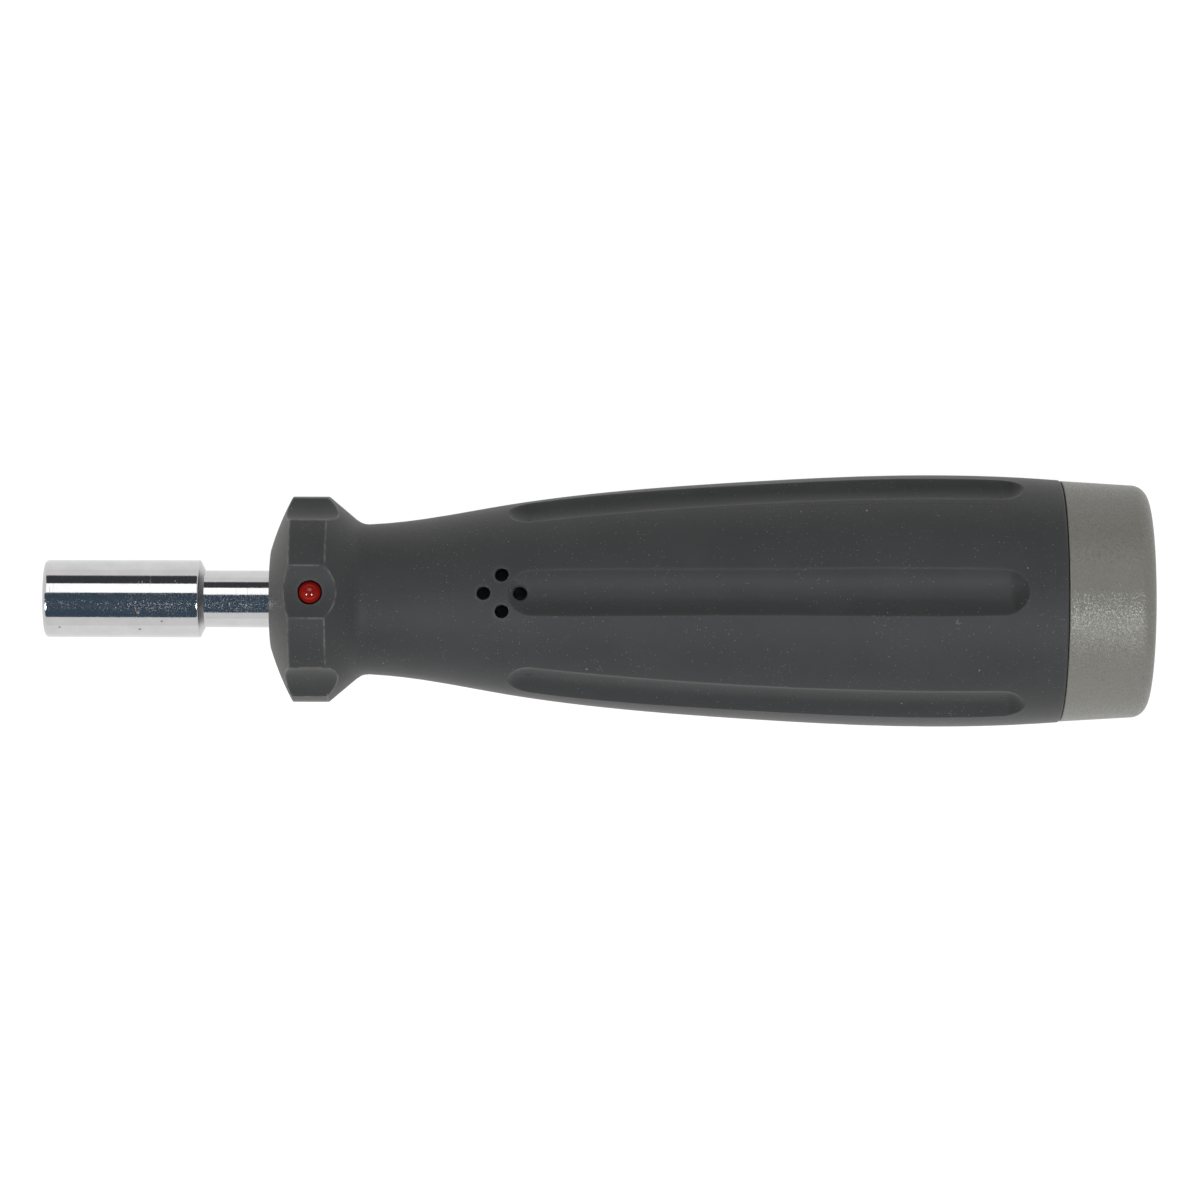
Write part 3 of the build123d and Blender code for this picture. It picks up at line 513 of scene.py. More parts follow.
def set_bump(tree, sockets, height, distance_mm, strength=1.0):
    """Raises the surface by a height map."""
    inputs = {"Height": height, "Distance": distance_mm * MM, "Strength": strength}
    bump = add_node(tree, "Bump", inputs)
    tree.links.new(bump.outputs["Normal"], sockets["Normal"])


def finish_nodes(material, *names):
    """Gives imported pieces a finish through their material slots."""
    for name in names:
        for slot in nodes[name].material_slots:
            slot.material = material
    print(material.name, "on", ", ".join(names))


print("helpers ready: start_finish, set_bump, finish_nodes")

# %% [markdown]
# ## Rubber grip
# The grip is a soft dark grey rubber, moulded over the core and dull from dust. A dark colour
# with a high roughness gives the body, and a little sheen stands for the dust that catches light
# at grazing angles. Its edges are a little paler where it is rubbed.

# %% Rubber body and rubbed edges
rubber, tree, sockets = start_finish("grip_rubber", Roughness=0.57, Specular_IOR_Level=0.36)
sockets["Sheen Weight"].default_value = 0.15
sockets["Sheen Roughness"].default_value = 0.45
sockets["Sheen Tint"].default_value = (1.0, 0.92, 0.86, 1)
rubber_patches = use_group(tree, patch_group, {"Patch size mm": 11.0})
RUBBER_DARK = (0.0246, 0.0263, 0.0266, 1)
RUBBER_LIGHT = (0.0302, 0.0319, 0.0322, 1)
body_colour = blend_colours(tree, rubber_patches["Mask"], RUBBER_DARK, RUBBER_LIGHT)
wide_wear = use_group(tree, wear_group, {"Width mm": 0.9, "Evenness": 0.6})
wide_amount = math_node(tree, "MULTIPLY", wide_wear["Mask"], 0.35)
wide_colour = blend_colours(tree, wide_amount, body_colour, (0.085, 0.084, 0.080, 1))
print("rubber body between", RUBBER_DARK[:3], "and", RUBBER_LIGHT[:3])

# %% [markdown]
# Each scallop of the collar has a thin pale crease round it. The edge wear can't tell it from the
# other edges, so it is found by its place. All six scallops lie on one circle of cutter positions,
# so folding the angle into one sixth of a turn gives the distance to the nearest one. That
# distance is the third side of a triangle, by the law of cosines.

# %% Creases round the scallops
SCALLOPS = 6
SCALLOP_RADIUS = 8.0
SCALLOP_CENTRE = 20.8
from_axis = vector_node(tree, "SUBTRACT", object_place(tree), AXIS_POINT)
place = separate(tree, scale_vector(tree, from_axis, 1 / MM))
sector = 2 * math.pi / SCALLOPS
angle = math_node(tree, "ARCTAN2", place["Y"], place["Z"])
turns = math_node(tree, "ROUND", math_node(tree, "DIVIDE", angle, sector))
folded = math_node(tree, "MULTIPLY_ADD", turns, -sector, angle)
y_squared = math_node(tree, "POWER", math_node(tree, "ABSOLUTE", place["Y"]), 2.0)
squares = math_node(tree, "MULTIPLY_ADD", place["Z"], place["Z"], y_squared)
reach = math_node(tree, "SQRT", squares)
both_sides = math_node(tree, "MULTIPLY", reach, 2 * SCALLOP_CENTRE)
overlap = math_node(tree, "MULTIPLY", both_sides, math_node(tree, "COSINE", folded))
sum_of_squares = math_node(tree, "ADD", squares, SCALLOP_CENTRE ** 2)
apart = math_node(tree, "SQRT", math_node(tree, "SUBTRACT", sum_of_squares, overlap))
off_scallop = math_node(tree, "SUBTRACT", apart, SCALLOP_RADIUS)
crease_start = spread(tree, off_scallop, 0.005, 0.03)
crease = math_node(tree, "MULTIPLY", crease_start, spread(tree, off_scallop, 0.22, 0.10))
print("creases round", SCALLOPS, "scallops")

# %% [markdown]
# The collar's band has a rim at each side, rubbed in the same way. Both kinds of line stop where
# the collar ends, and a noise makes them uneven.

# %% Rims of the collar
BAND_START = 33.8
BAND_END = 38.7
along = math_node(tree, "SUBTRACT", place["X"], FRONT_X / MM)
off_start = math_node(tree, "ABSOLUTE", math_node(tree, "SUBTRACT", along, BAND_START))
off_end = math_node(tree, "ABSOLUTE", math_node(tree, "SUBTRACT", along, BAND_END))
off_rim = math_node(tree, "MINIMUM", off_start, off_end)
on_land = spread(tree, reach, 13.70, 13.85)
rim = math_node(tree, "MULTIPLY", spread(tree, off_rim, 0.16, 0.07), on_land)
on_collar = spread(tree, along, 43.0, 41.0)
lines_found = math_node(tree, "MULTIPLY", math_node(tree, "MAXIMUM", crease, rim), on_collar)
unevenness = spread(tree, noise(tree, 800.0, 4.0), 0.38, 0.62, 0.12, 1.0)
crease_amount = math_node(tree, "MULTIPLY", lines_found, unevenness)
rubbed_colour = blend_colours(tree, crease_amount, wide_colour, (0.115, 0.108, 0.100, 1))
print("rims at", BAND_START, "and", BAND_END, "mm")

# %% [markdown]
# The collar's front meets the work and the hand, so it is dusty and a little brown. The same paler
# tone is also painted light on the side that faces forward. It faces forward more steeply than
# nearly all the rest of the rubber, which the x of the surface's own direction tells.
# The two halves of the mould left a fine dark line at 45 degrees from the top. Only its rear part
# can be seen, and it fades in and out along the handle.

# %% Brown front with painted light, and mould line
facing = object_facing(tree)
# Dust and painted light: the forward-facing side is made paler and browner.
front_dust_and_light = spread(tree, facing["X"], -0.3, -0.75, 0.0, 0.09)
dusty_and_lit_colour = blend_colours(tree, front_dust_and_light, rubbed_colour, (0.098, 0.092, 0.085, 1))
MOULD_ANGLE = math.radians(45.5)
across = (0, math.cos(MOULD_ANGLE), -math.sin(MOULD_ANGLE))
off_parting = math_node(tree, "ABSOLUTE", vector_node(tree, "DOT_PRODUCT", from_axis, across))
parting_depth = spread(tree, off_parting, 0.12 * MM, 0.05 * MM, 0.0, 0.6)
fade_in = spread(tree, along, 88.0, 108.0)
parting_length = math_node(tree, "MULTIPLY", fade_in, spread(tree, along, 133.0, 129.0))
parting = math_node(tree, "MULTIPLY", parting_depth, parting_length)
line_colour = blend_colours(tree, parting, dusty_and_lit_colour, (0.012, 0.013, 0.013, 1))
print("mould line at", round(math.degrees(MOULD_ANGLE), 1), "degrees")

# %% [markdown]
# Inside the flutes, the far wall of each flute, which faces away from the lamps, and the end wall at
# the rear are given a darker colour: this is painted shade. How far the surface leans to one side,
# seen along the tool, finds the far wall of each flute, and its x finds the rear end.

# %% Painted shade on the flute walls
lean_first = math_node(tree, "MULTIPLY", facing["Y"], place["Z"])
lean_second = math_node(tree, "MULTIPLY", facing["Z"], place["Y"])
lean = math_node(tree, "DIVIDE", math_node(tree, "SUBTRACT", lean_first, lean_second), reach)
# Painted shade: far walls and rear end walls of the flutes get a darker colour by their facing.
far_wall_shade = spread(tree, lean, 0.12, 0.36, 0.0, 0.36)
faces_front = spread(tree, facing["X"], -0.12, -0.34, 0.0, 0.9)
end_wall_shade = math_node(tree, "MULTIPLY", faces_front, spread(tree, along, 118.0, 124.0))
either_wall_shade = math_node(tree, "MAXIMUM", far_wall_shade, end_wall_shade)
painted_shade = math_node(tree, "MULTIPLY", either_wall_shade, spread(tree, along, 61.0, 65.0))
# The painted shade darkens the rubber's colour here.
shaded_wall_colour = blend_colours(tree, painted_shade, line_colour, (0.009, 0.010, 0.010, 1))
print("flute walls are sheltered")

# %% [markdown]
# Dust comes last, because it lies on top of every other colour. Fine specks are everywhere, a few
# coarse ones and some lint lie among them, and the largest of the three masks wins at each point.

# %% Rubber dust and lint
rubber_dust = use_group(tree, dust_group, {"Specks per mm": 3.4, "Speck size": 0.20, "Share kept": 0.26})
coarse_dust = use_group(tree, dust_group, {"Specks per mm": 0.8, "Speck size": 0.10, "Share kept": 0.05})
rubber_lint = use_group(tree, lint_group, {"Curls per mm": 0.5, "Share kept": 0.005})
fine_amount = math_node(tree, "MULTIPLY", rubber_dust["Mask"], 0.58)
coarse_amount = math_node(tree, "MULTIPLY", coarse_dust["Mask"], 0.75)
lint_amount = math_node(tree, "MULTIPLY", rubber_lint["Mask"], 0.22)
all_dust = math_node(tree, "MAXIMUM", math_node(tree, "MAXIMUM", fine_amount, coarse_amount), lint_amount)
tree.links.new(blend_colours(tree, all_dust, shaded_wall_colour, (0.22, 0.21, 0.19, 1)), sockets["Base Color"])
rubber_grain = use_group(tree, grain_group, {"Grains per mm": 3.5})
set_bump(tree, sockets, rubber_grain["Height"], 0.035, 0.7)
finish_nodes(rubber, "rubber_grip")

# %% [markdown]
# ## Chrome
# The holder and the shank are polished and plated steel. Polished metal is nearly all reflection,
# so its faults go into its roughness and its slope and hardly into its colour. Fine scratches run
# round the holder, and the turned ends are duller than the plated sides. Long, very shallow waves
# make the bands' edges waver. Only the start of rust is a clear change of colour: three brown
# marks, and a few specks that the dust group places.

# %% Chrome plate and rust marks
chrome, tree, sockets = start_finish("chrome_plate", Metallic=1.0)
chrome_patches = use_group(tree, patch_group, {"Patch size mm": 2.5})
chrome_scratches = use_group(tree, scratch_group, {"Lines per mm": 4.5, "Amount": 1.0})
chrome_stains = use_group(tree, dust_group, {"Specks per mm": 0.5, "Speck size": 0.10, "Share kept": 0.05})
CHROME_LIGHT = (0.550, 0.548, 0.550, 1)
CHROME_DARK = (0.51, 0.508, 0.512, 1)
RUST_MARKS = ((2.26, -4.14, 3.31, 0.22), (16.19, -3.36, 4.10, 0.2), (18.0, 2.06, 4.88, 0.16))
plate_colour = blend_colours(tree, chrome_patches["Mask"], CHROME_LIGHT, CHROME_DARK)
stained = chrome_stains["Mask"]
for rust_mark in RUST_MARKS:
    stained = math_node(tree, "MAXIMUM", stained, mark_at(tree, *rust_mark))
stain_amount = math_node(tree, "MULTIPLY", stained, 0.75)
rusty_colour = blend_colours(tree, stain_amount, plate_colour, (0.24, 0.15, 0.10, 1))
tree.links.new(rusty_colour, sockets["Base Color"])
print("rust marks:", len(RUST_MARKS))

# %% [markdown]
# Wear has frosted the plate, most of all along the top and the underside and towards the rear.
# Cloudy frost and fine specks are both rougher than the plate, so they spread what they mirror
# and show as pale dots in the dark bands. A paler colour would not do, because a dark
# reflection stays dark whatever the colour of the mirror.

# %% Frost and scratches on the chrome
clouded = spread(tree, noise(tree, 6000.0, 3.0), 0.54, 0.62, 0.0, 0.55)
frost_specks = use_group(tree, dust_group, {"Specks per mm": 6.2, "Speck size": 0.36, "Share kept": 0.85})
speckled = math_node(tree, "MAXIMUM", clouded, frost_specks["Mask"])
holder_place = separate(tree, object_place(tree))
off_zone = math_node(tree, "ABSOLUTE", math_node(tree, "ADD", holder_place["Y"], 1.0 * MM))
across_zone = spread(tree, off_zone, 2.2 * MM, 0.5 * MM, 0.25, 1.0)
along_zone = spread(tree, holder_place["X"], station(1.0), station(12.0), 0.7, 1.0)
frost_zone = math_node(tree, "MULTIPLY", across_zone, along_zone)
frosted = spread(tree, math_node(tree, "MULTIPLY", speckled, frost_zone), 0, 1, 0.035, 0.38)
end_facing = math_node(tree, "ABSOLUTE", object_facing(tree)["X"])
turned_end = spread(tree, end_facing, 0.3, 0.6, 0.0, 0.3)
frosted_or_end = math_node(tree, "MAXIMUM", frosted, turned_end)
scuffed = math_node(tree, "MULTIPLY_ADD", chrome_scratches["Mask"], 0.14, frosted_or_end)
chrome_roughness = math_node(tree, "MULTIPLY_ADD", chrome_patches["Mask"], 0.03, scuffed)
rusty_roughness = math_node(tree, "MULTIPLY_ADD", stain_amount, 0.4, chrome_roughness)
tree.links.new(rusty_roughness, sockets["Roughness"])
waves = noise(tree, 900.0, 2.0)
plate_height = math_node(tree, "MULTIPLY_ADD", waves, 0.25, chrome_scratches["Mask"])
set_bump(tree, sockets, plate_height, 0.010, 0.7)
finish_nodes(chrome, "bit_holder", "output_shaft")

# %% [markdown]
# ## End cap
# The cap is plastic with a pearl grey lacquer. Its sparkle comes from flakes, each a small mirror
# at its own tilt. A fine Voronoi texture gives every flake a random colour, which sets its tone
# here and its tilt in the next step. So the flakes glitter inside the highlight and are calm
# elsewhere. Inside, the cap is bare plastic: the lacquer is only where the surface is far from the
# axis, or on the end face.

# %% Pearl lacquer
pearl, tree, sockets = start_finish("pearl_lacquer", Specular_IOR_Level=0.4)
sockets["Coat Weight"].default_value = 0.06
sockets["Coat Roughness"].default_value = 0.3
FLAKES_PER_METRE = 9400.0
FLAKE_TILT = 0.41
PEARL_DARK = (0.167, 0.163, 0.143, 1)
PEARL_LIGHT = (0.214, 0.208, 0.183, 1)
flakes = random_cells(tree, FLAKES_PER_METRE)
flake_values = add_node(tree, "SeparateColor", {"Color": flakes["Color"]}).outputs
lacquer = blend_colours(tree, flake_values["Red"], PEARL_DARK, PEARL_LIGHT)
cap_patches = use_group(tree, patch_group, {"Patch size mm": 6.0})
handled = math_node(tree, "MULTIPLY", cap_patches["Mask"], 0.15)
handled_colour = blend_colours(tree, handled, lacquer, (0.145, 0.141, 0.126, 1))
nick = mark_at(tree, 148.3, -10.98, 10.94, 0.32)
nicked_colour = blend_colours(tree, nick, handled_colour, (0.06, 0.06, 0.055, 1))
cap_place = vector_node(tree, "SUBTRACT", object_place(tree), AXIS_POINT)
cap_reach = vector_node(tree, "LENGTH", vector_node(tree, "MULTIPLY", cap_place, (0, 1, 1)))
cap_along = separate(tree, object_place(tree))["X"]
near_axis = math_node(tree, "LESS_THAN", cap_reach, 15.2 * MM)
before_end = math_node(tree, "LESS_THAN", cap_along, station(149.0))
inside = math_node(tree, "MULTIPLY", near_axis, before_end)
cap_colour = blend_colours(tree, inside, nicked_colour, (0.045, 0.046, 0.048, 1))
tree.links.new(cap_colour, sockets["Base Color"])
tree.links.new(spread(tree, inside, 0, 1, 0.30, 0.0), sockets["Metallic"])
tree.links.new(spread(tree, flake_values["Green"], 0, 1, 0.36, 0.46), sockets["Roughness"])
print("flakes per mm:", round(FLAKES_PER_METRE * MM, 2))

# %% [markdown]
# A flake lies nearly flat in the lacquer. Its random colour, less a half, is a small direction of
# its own. Added to the surface's direction it tilts the flake, and the sum is brought back to
# length one. Separate flakes of mesh would be far too many.

# %% Tilt the flakes
own_direction = vector_node(tree, "SUBTRACT", flakes["Color"], (0.5, 0.5, 0.5))
true_normal = add_node(tree, "NewGeometry").outputs["Normal"]
tilted = vector_node(tree, "ADD", true_normal, scale_vector(tree, own_direction, FLAKE_TILT))
tree.links.new(vector_node(tree, "NORMALIZE", tilted), sockets["Normal"])
finish_nodes(pearl, "end_cap")

# %% [markdown]
# ## Warning light
# The light is a 3 mm red epoxy dome. Through the epoxy its reflector cup shows as a paler ring; here
# the ring is a painted reflection, strongest where it faces the studio's near and far sides. The
# dome's edge is painted nearly black as painted shade where it meets its hole. Clear epoxy over a
# modelled cup would render slowly and grainy, so ring and edge are painted on the dome. How far each
# point lies from the light's own axis gives both.

# %% Red epoxy
LED_STATION = 36.7
LED_RADIUS = 1.525
epoxy, tree, sockets = start_finish("red_epoxy", Roughness=0.3, Specular_IOR_Level=0.0, Coat_Weight=1.0)
sockets["Coat Roughness"].default_value = 0.02
from_led = vector_node(tree, "SUBTRACT", object_place(tree), (station(LED_STATION), 0, 0))
led_reach = vector_node(tree, "LENGTH", vector_node(tree, "MULTIPLY", from_led, (1, 1, 0)))
share_out = math_node(tree, "DIVIDE", led_reach, LED_RADIUS * MM)
off_ring = math_node(tree, "ABSOLUTE", math_node(tree, "SUBTRACT", share_out, 0.60))
# Painted reflection: a paler ring, stronger towards the studio's near and far sides.
ring = spread(tree, off_ring, 0.06, 0.02)
led_sides = separate(tree, from_led)
sideways = math_node(tree, "DIVIDE", math_node(tree, "ABSOLUTE", led_sides["Y"]), led_reach)
cup_reflection_amount = math_node(tree, "MULTIPLY", ring, spread(tree, sideways, 0.45, 0.95, 0.05, 0.6))
outward = spread(tree, share_out, 0.0, 0.9)
deep_red = blend_colours(tree, outward, (0.19, 0.007, 0.005, 1), (0.25, 0.010, 0.006, 1))
cup_reflection_red = blend_colours(tree, cup_reflection_amount, deep_red, (0.40, 0.050, 0.045, 1))
# Painted shade: the dome's edge is darkened where it meets its hole.
painted_edge_shade = spread(tree, share_out, 0.95, 1.03)
epoxy_colour = blend_colours(tree, painted_edge_shade, cup_reflection_red, (0.055, 0.010, 0.010, 1))
tree.links.new(epoxy_colour, sockets["Base Color"])
print("epoxy dome of radius", LED_RADIUS, "mm")

# %% [markdown]
# The clear coat mirrors the two lamps and the softbox as three small dots near the middle of the
# dome. Handling has dulled the rest, so the coat fades away from the middle, and to both sides
# of the upper dot.

# %% Clear coat of the dome
dome_x = math_node(tree, "DIVIDE", math_node(tree, "ABSOLUTE", led_sides["X"]), LED_RADIUS * MM)
dome_y = math_node(tree, "DIVIDE", led_sides["Y"], LED_RADIUS * MM)
off_middle = spread(tree, dome_x, 0.14, 0.22)
beside = math_node(tree, "MULTIPLY", off_middle, spread(tree, dome_y, -0.06, 0.02))
near_middle = spread(tree, share_out, 0.38, 0.48, 1.0, 0.08)
coated = math_node(tree, "MULTIPLY", near_middle, spread(tree, beside, 0, 1, 1.0, 0.1))
tree.links.new(coated, sockets["Coat Weight"])
finish_nodes(epoxy, "warning_led")

# %% [markdown]
# ## Turned, stamped and moulded pieces inside
# The rest of the tool shows when the cap is off, from below, or when it is taken apart. Metals
# differ in colour and in how finely they were cut. Most finishes of one kind differ only in a
# few numbers, so two short functions make them.

# %% Metals
def metal_finish(name, colour, roughness, lines_per_mm):
    """Bare metal with the fine rings that a lathe or a press leaves."""
    material, tree, sockets = start_finish(name, Base_Color=colour, Metallic=1.0)
    tool_marks = use_group(tree, scratch_group, {"Lines per mm": lines_per_mm, "Amount": 1.0})
    clouded = use_group(tree, patch_group, {"Patch size mm": 3.0})
    worn = math_node(tree, "MULTIPLY_ADD", clouded["Mask"], 0.10, roughness)
    tree.links.new(math_node(tree, "MULTIPLY_ADD", tool_marks["Mask"], 0.12, worn), sockets["Roughness"])
    set_bump(tree, sockets, tool_marks["Mask"], 0.004, 0.5)
    return material


steel = metal_finish("ground_steel", (0.46, 0.45, 0.43, 1), 0.22, 4.0)
finish_nodes(steel, "bit_retaining_ring", "shaft_clip", "core_screws", "carrier_screw")
nickel = metal_finish("nickel_magnet", (0.40, 0.38, 0.35, 1), 0.16, 2.0)
finish_nodes(nickel, "bit_magnet")
bronze = metal_finish("sintered_bronze", (0.50, 0.30, 0.13, 1), 0.34, 3.0)
finish_nodes(bronze, "front_bush")
aluminium = metal_finish("turned_aluminium", (0.62, 0.62, 0.63, 1), 0.30, 5.0)
finish_nodes(aluminium, "sensor_anchor")
spring_metal = metal_finish("plated_spring", (0.66, 0.62, 0.50, 1), 0.18, 2.0)
finish_nodes(spring_metal, "front_contacts", "bridge_contact")

# %% [markdown]
# Moulded plastic is never one flat colour. Two close tones in clouds, a fine tooth and paler
# edges are enough to tell it from paint. Seals and buttons are rubber, made by the same function
# with other numbers.

# %% Plastics and seals
def plastic_finish(name, light, dark, roughness, grain=3.0, relief=0.01):
    """Moulded plastic: two close colours in clouds, a fine tooth, and paler rubbed edges."""
    material, tree, sockets = start_finish(name, Roughness=roughness, Specular_IOR_Level=0.4)
    clouded = use_group(tree, patch_group, {"Patch size mm": 7.0})
    body = blend_colours(tree, clouded["Mask"], dark, light)
    edges = use_group(tree, wear_group, {"Width mm": 0.25, "Evenness": 0.4})
    paler = tuple(min(1.0, 1.8 * value + 0.02) for value in light[:3]) + (1,)
    edge_amount = math_node(tree, "MULTIPLY", edges["Mask"], 0.4)
    tree.links.new(blend_colours(tree, edge_amount, body, paler), sockets["Base Color"])
    tooth = use_group(tree, grain_group, {"Grains per mm": grain})
    set_bump(tree, sockets, tooth["Height"], relief, 0.4)
    return material


core_plastic = plastic_finish("glass_filled_nylon", (0.030, 0.030, 0.032, 1), (0.022, 0.022, 0.024, 1), 0.5)
finish_nodes(core_plastic, "core_upper", "core_lower", "rear_ring")
cradle_plastic = plastic_finish("grey_cradle_plastic", (0.13, 0.135, 0.14, 1), (0.11, 0.115, 0.12, 1), 0.42)
finish_nodes(cradle_plastic, "battery_cradle")
carrier_plastic = plastic_finish("ivory_carrier_plastic", (0.52, 0.50, 0.44, 1), (0.47, 0.45, 0.39, 1), 0.38)
finish_nodes(carrier_plastic, "contact_carrier")
seal_rubber = plastic_finish("seal_rubber", (0.020, 0.020, 0.020, 1), (0.015, 0.015, 0.015, 1), 0.35)
finish_nodes(seal_rubber, "shaft_seal", "cap_seal")
sounder_case = plastic_finish("sounder_case", (0.035, 0.034, 0.033, 1), (0.028, 0.027, 0.026, 1), 0.3)
finish_nodes(sounder_case, "sounder")
BEZEL_LIGHT = (0.075, 0.078, 0.082, 1)
BEZEL_DARK = (0.065, 0.068, 0.072, 1)
bezel_plastic = plastic_finish("bezel_plastic", BEZEL_LIGHT, BEZEL_DARK, 0.36, 4.0, 0.006)
finish_nodes(bezel_plastic, "display_bezel")
CHIP_LIGHT = (0.026, 0.026, 0.027, 1)
CHIP_DARK = (0.020, 0.020, 0.021, 1)
chip_epoxy = plastic_finish("chip_epoxy", CHIP_LIGHT, CHIP_DARK, 0.45, 6.0, 0.004)
finish_nodes(chip_epoxy, "control_chip", "amplifier_chip", "button_switches")
button_rubber = plastic_finish("button_rubber", (0.38, 0.39, 0.39, 1), (0.35, 0.36, 0.36, 1), 0.55)
finish_nodes(button_rubber, "power_button", "mode_button", "up_button", "down_button")

# %% [markdown]
# The cells have a printed sleeve round them and bare steel at both ends. The sleeve could be a
# piece of its own, but it is thinner than paper, so places and directions on the cell tell sleeve
# and steel apart. A surface that faces along the tool is an end. The band of a second colour
# marks each cell's positive end, and the two cells lie head to tail.

# %% Cells
def cell_finish(name, band_start, band_end):
    """Printed sleeve with a band between two stations, and steel ends."""
    material, tree, sockets = start_finish(name, Coat_Weight=0.5, Coat_Roughness=0.08)
    along = separate(tree, object_place(tree))["X"]
    endways = math_node(tree, "ABSOLUTE", object_facing(tree)["X"])
    end_face = math_node(tree, "GREATER_THAN", endways, 0.5)
    after = math_node(tree, "GREATER_THAN", along, station(band_start))
    before = math_node(tree, "LESS_THAN", along, station(band_end))
    band = math_node(tree, "MULTIPLY", after, before)
    sleeve = blend_colours(tree, band, (0.035, 0.075, 0.16, 1), (0.70, 0.72, 0.74, 1))
    tree.links.new(blend_colours(tree, end_face, sleeve, (0.50, 0.49, 0.47, 1)), sockets["Base Color"])
    tree.links.new(end_face, sockets["Metallic"])
    tree.links.new(spread(tree, end_face, 0, 1, 0.32, 0.22), sockets["Roughness"])
    return material


finish_nodes(cell_finish("left_cell_sleeve", 128, 137), "battery_left")
finish_nodes(cell_finish("right_cell_sleeve", 98, 107), "battery_right")

# %% [markdown]
# The board's green mask lets the copper tracks show as lighter lines. A brick pattern, coarse
# along the board and fine across it, has joints that run like tracks. Cut edges show the bare
# yellowish glass fibre.

# %% Circuit board
board, tree, sockets = start_finish("green_board", Roughness=0.32, Coat_Weight=0.3, Coat_Roughness=0.1)
tracks = add_node(tree, "TexBrick", {"Vector": object_place(tree), "Scale": 900.0, "Mortar Size": 0.035})
tracks.inputs["Color1"].default_value = (0.006, 0.060, 0.026, 1)
tracks.inputs["Color2"].default_value = (0.008, 0.068, 0.030, 1)
tracks.inputs["Mortar"].default_value = (0.030, 0.150, 0.060, 1)
cut_edge = math_node(tree, "LESS_THAN", math_node(tree, "ABSOLUTE", object_facing(tree)["Z"]), 0.5)
board_colour = blend_colours(tree, cut_edge, tracks.outputs["Color"], (0.30, 0.26, 0.12, 1))
tree.links.new(board_colour, sockets["Base Color"])
finish_nodes(board, "circuit_board")

# %% [markdown]
# A strain gauge is a copper grid, folded to and fro, on amber film. A wave texture gives the even
# lines of the grid, and a threshold makes them sharp.

# %% Strain gauges
gauge, tree, sockets = start_finish("gauge_film", Roughness=0.25, Coat_Weight=0.6, Coat_Roughness=0.1)
grid = add_node(tree, "TexWave", {"Vector": object_place(tree), "Scale": 700.0}, bands_direction="X")
foil = math_node(tree, "GREATER_THAN", grid.outputs["Fac"], 0.5)
tree.links.new(blend_colours(tree, foil, (0.45, 0.17, 0.02, 1), (0.52, 0.35, 0.22, 1)), sockets["Base Color"])
tree.links.new(math_node(tree, "MULTIPLY", foil, 0.8), sockets["Metallic"])
finish_nodes(gauge, "strain_gauges")

# %% [markdown]
# ## Display
# The display is a reflective liquid crystal behind a clear window: silvery green glass with black
# segments. Only the face towards the window is silvery, and the rest is a dark case.

# %% Display glass
crystal, tree, sockets = start_finish("display_glass", Roughness=0.22, Specular_IOR_Level=0.5)
front_face = math_node(tree, "LESS_THAN", object_facing(tree)["Z"], -0.5)
crystal_tone = use_group(tree, patch_group, {"Patch size mm": 14.0})
reflector = blend_colours(tree, crystal_tone["Mask"], (0.36, 0.40, 0.33, 1), (0.40, 0.44, 0.37, 1))
tree.links.new(blend_colours(tree, front_face, (0.10, 0.10, 0.10, 1), reflector), sockets["Base Color"])
finish_nodes(crystal, "display_module")

# %% [markdown]
# The window is real glass to the renderer, so the segments sit visibly deeper than it. Inks and
# tinned copper are too small to show clouds or grain, so they are the same all over.

# %% Window, inks and tinned copper
def plain_finish(name, **sockets):
    """A finish that is the same all over."""
    return start_finish(name, **sockets)[0]


CLEAR = (0.97, 0.98, 0.97, 1)
window = plain_finish("clear_window", Base_Color=CLEAR, Roughness=0.01, IOR=1.49, Transmission_Weight=1.0)
finish_nodes(window, "display_window")
ink = plain_finish("display_ink", Base_Color=(0.02, 0.022, 0.024, 1), Roughness=0.5)
symbol_ink = plain_finish("symbol_ink", Base_Color=(0.05, 0.052, 0.055, 1), Roughness=0.45)
red_ink = plain_finish("red_ink", Base_Color=(0.45, 0.03, 0.02, 1), Roughness=0.45)
tinned = plain_finish("tinned_copper", Base_Color=(0.60, 0.59, 0.56, 1), Metallic=1.0, Roughness=0.3)
print("inks and tin ready:", ink.name, symbol_ink.name, red_ink.name, tinned.name)

# %% [markdown]
# Segments, symbols and solder pins are flat outlines given a little thickness. A texture could
# draw them, but it would need a picture, and a mesh stays sharp however close the camera comes.
# One function lifts any number of outlines between two heights and lets the piece ride on its
# body. Each sinks a hair into what carries it, so that no gap shows.

# %% A helper for flat pieces
SUNK = 0.01


def flat_piece(name, outlines, levels, material, body):
    """Outlines are lists of (station, y) in mm; levels are two heights in mm from the tool's axis."""
    points = []
    faces = []
    for outline in outlines:
        first = len(points)
        count = len(outline)
        for height in levels:
            points += [(station(x), y * MM, AXIS_HEIGHT + height * MM) for x, y in outline]
        faces.append([first + index for index in range(count)][::-1])
        faces.append([first + count + index for index in range(count)])
        for index in range(count):
            after = (index + 1) % count
            faces.append([first + index, first + after, first + count + after, first + count + index])
    mesh = bpy.data.meshes.new(name)
    mesh.from_pydata(points, [], faces)
    mesh.materials.append(material)
    piece = bpy.data.objects.new(name, mesh)
    bpy.context.scene.collection.objects.link(piece)
    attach(piece, body)
    print(name, "has", len(outlines), "outlines")


def rectangle(x, y, length, width):
    """Corners of a rectangle round a point."""
    return [
        (x - length / 2, y - width / 2),
        (x + length / 2, y - width / 2),
        (x + length / 2, y + width / 2),
        (x - length / 2, y + width / 2),
    ]


print("helpers ready: flat_piece, rectangle")

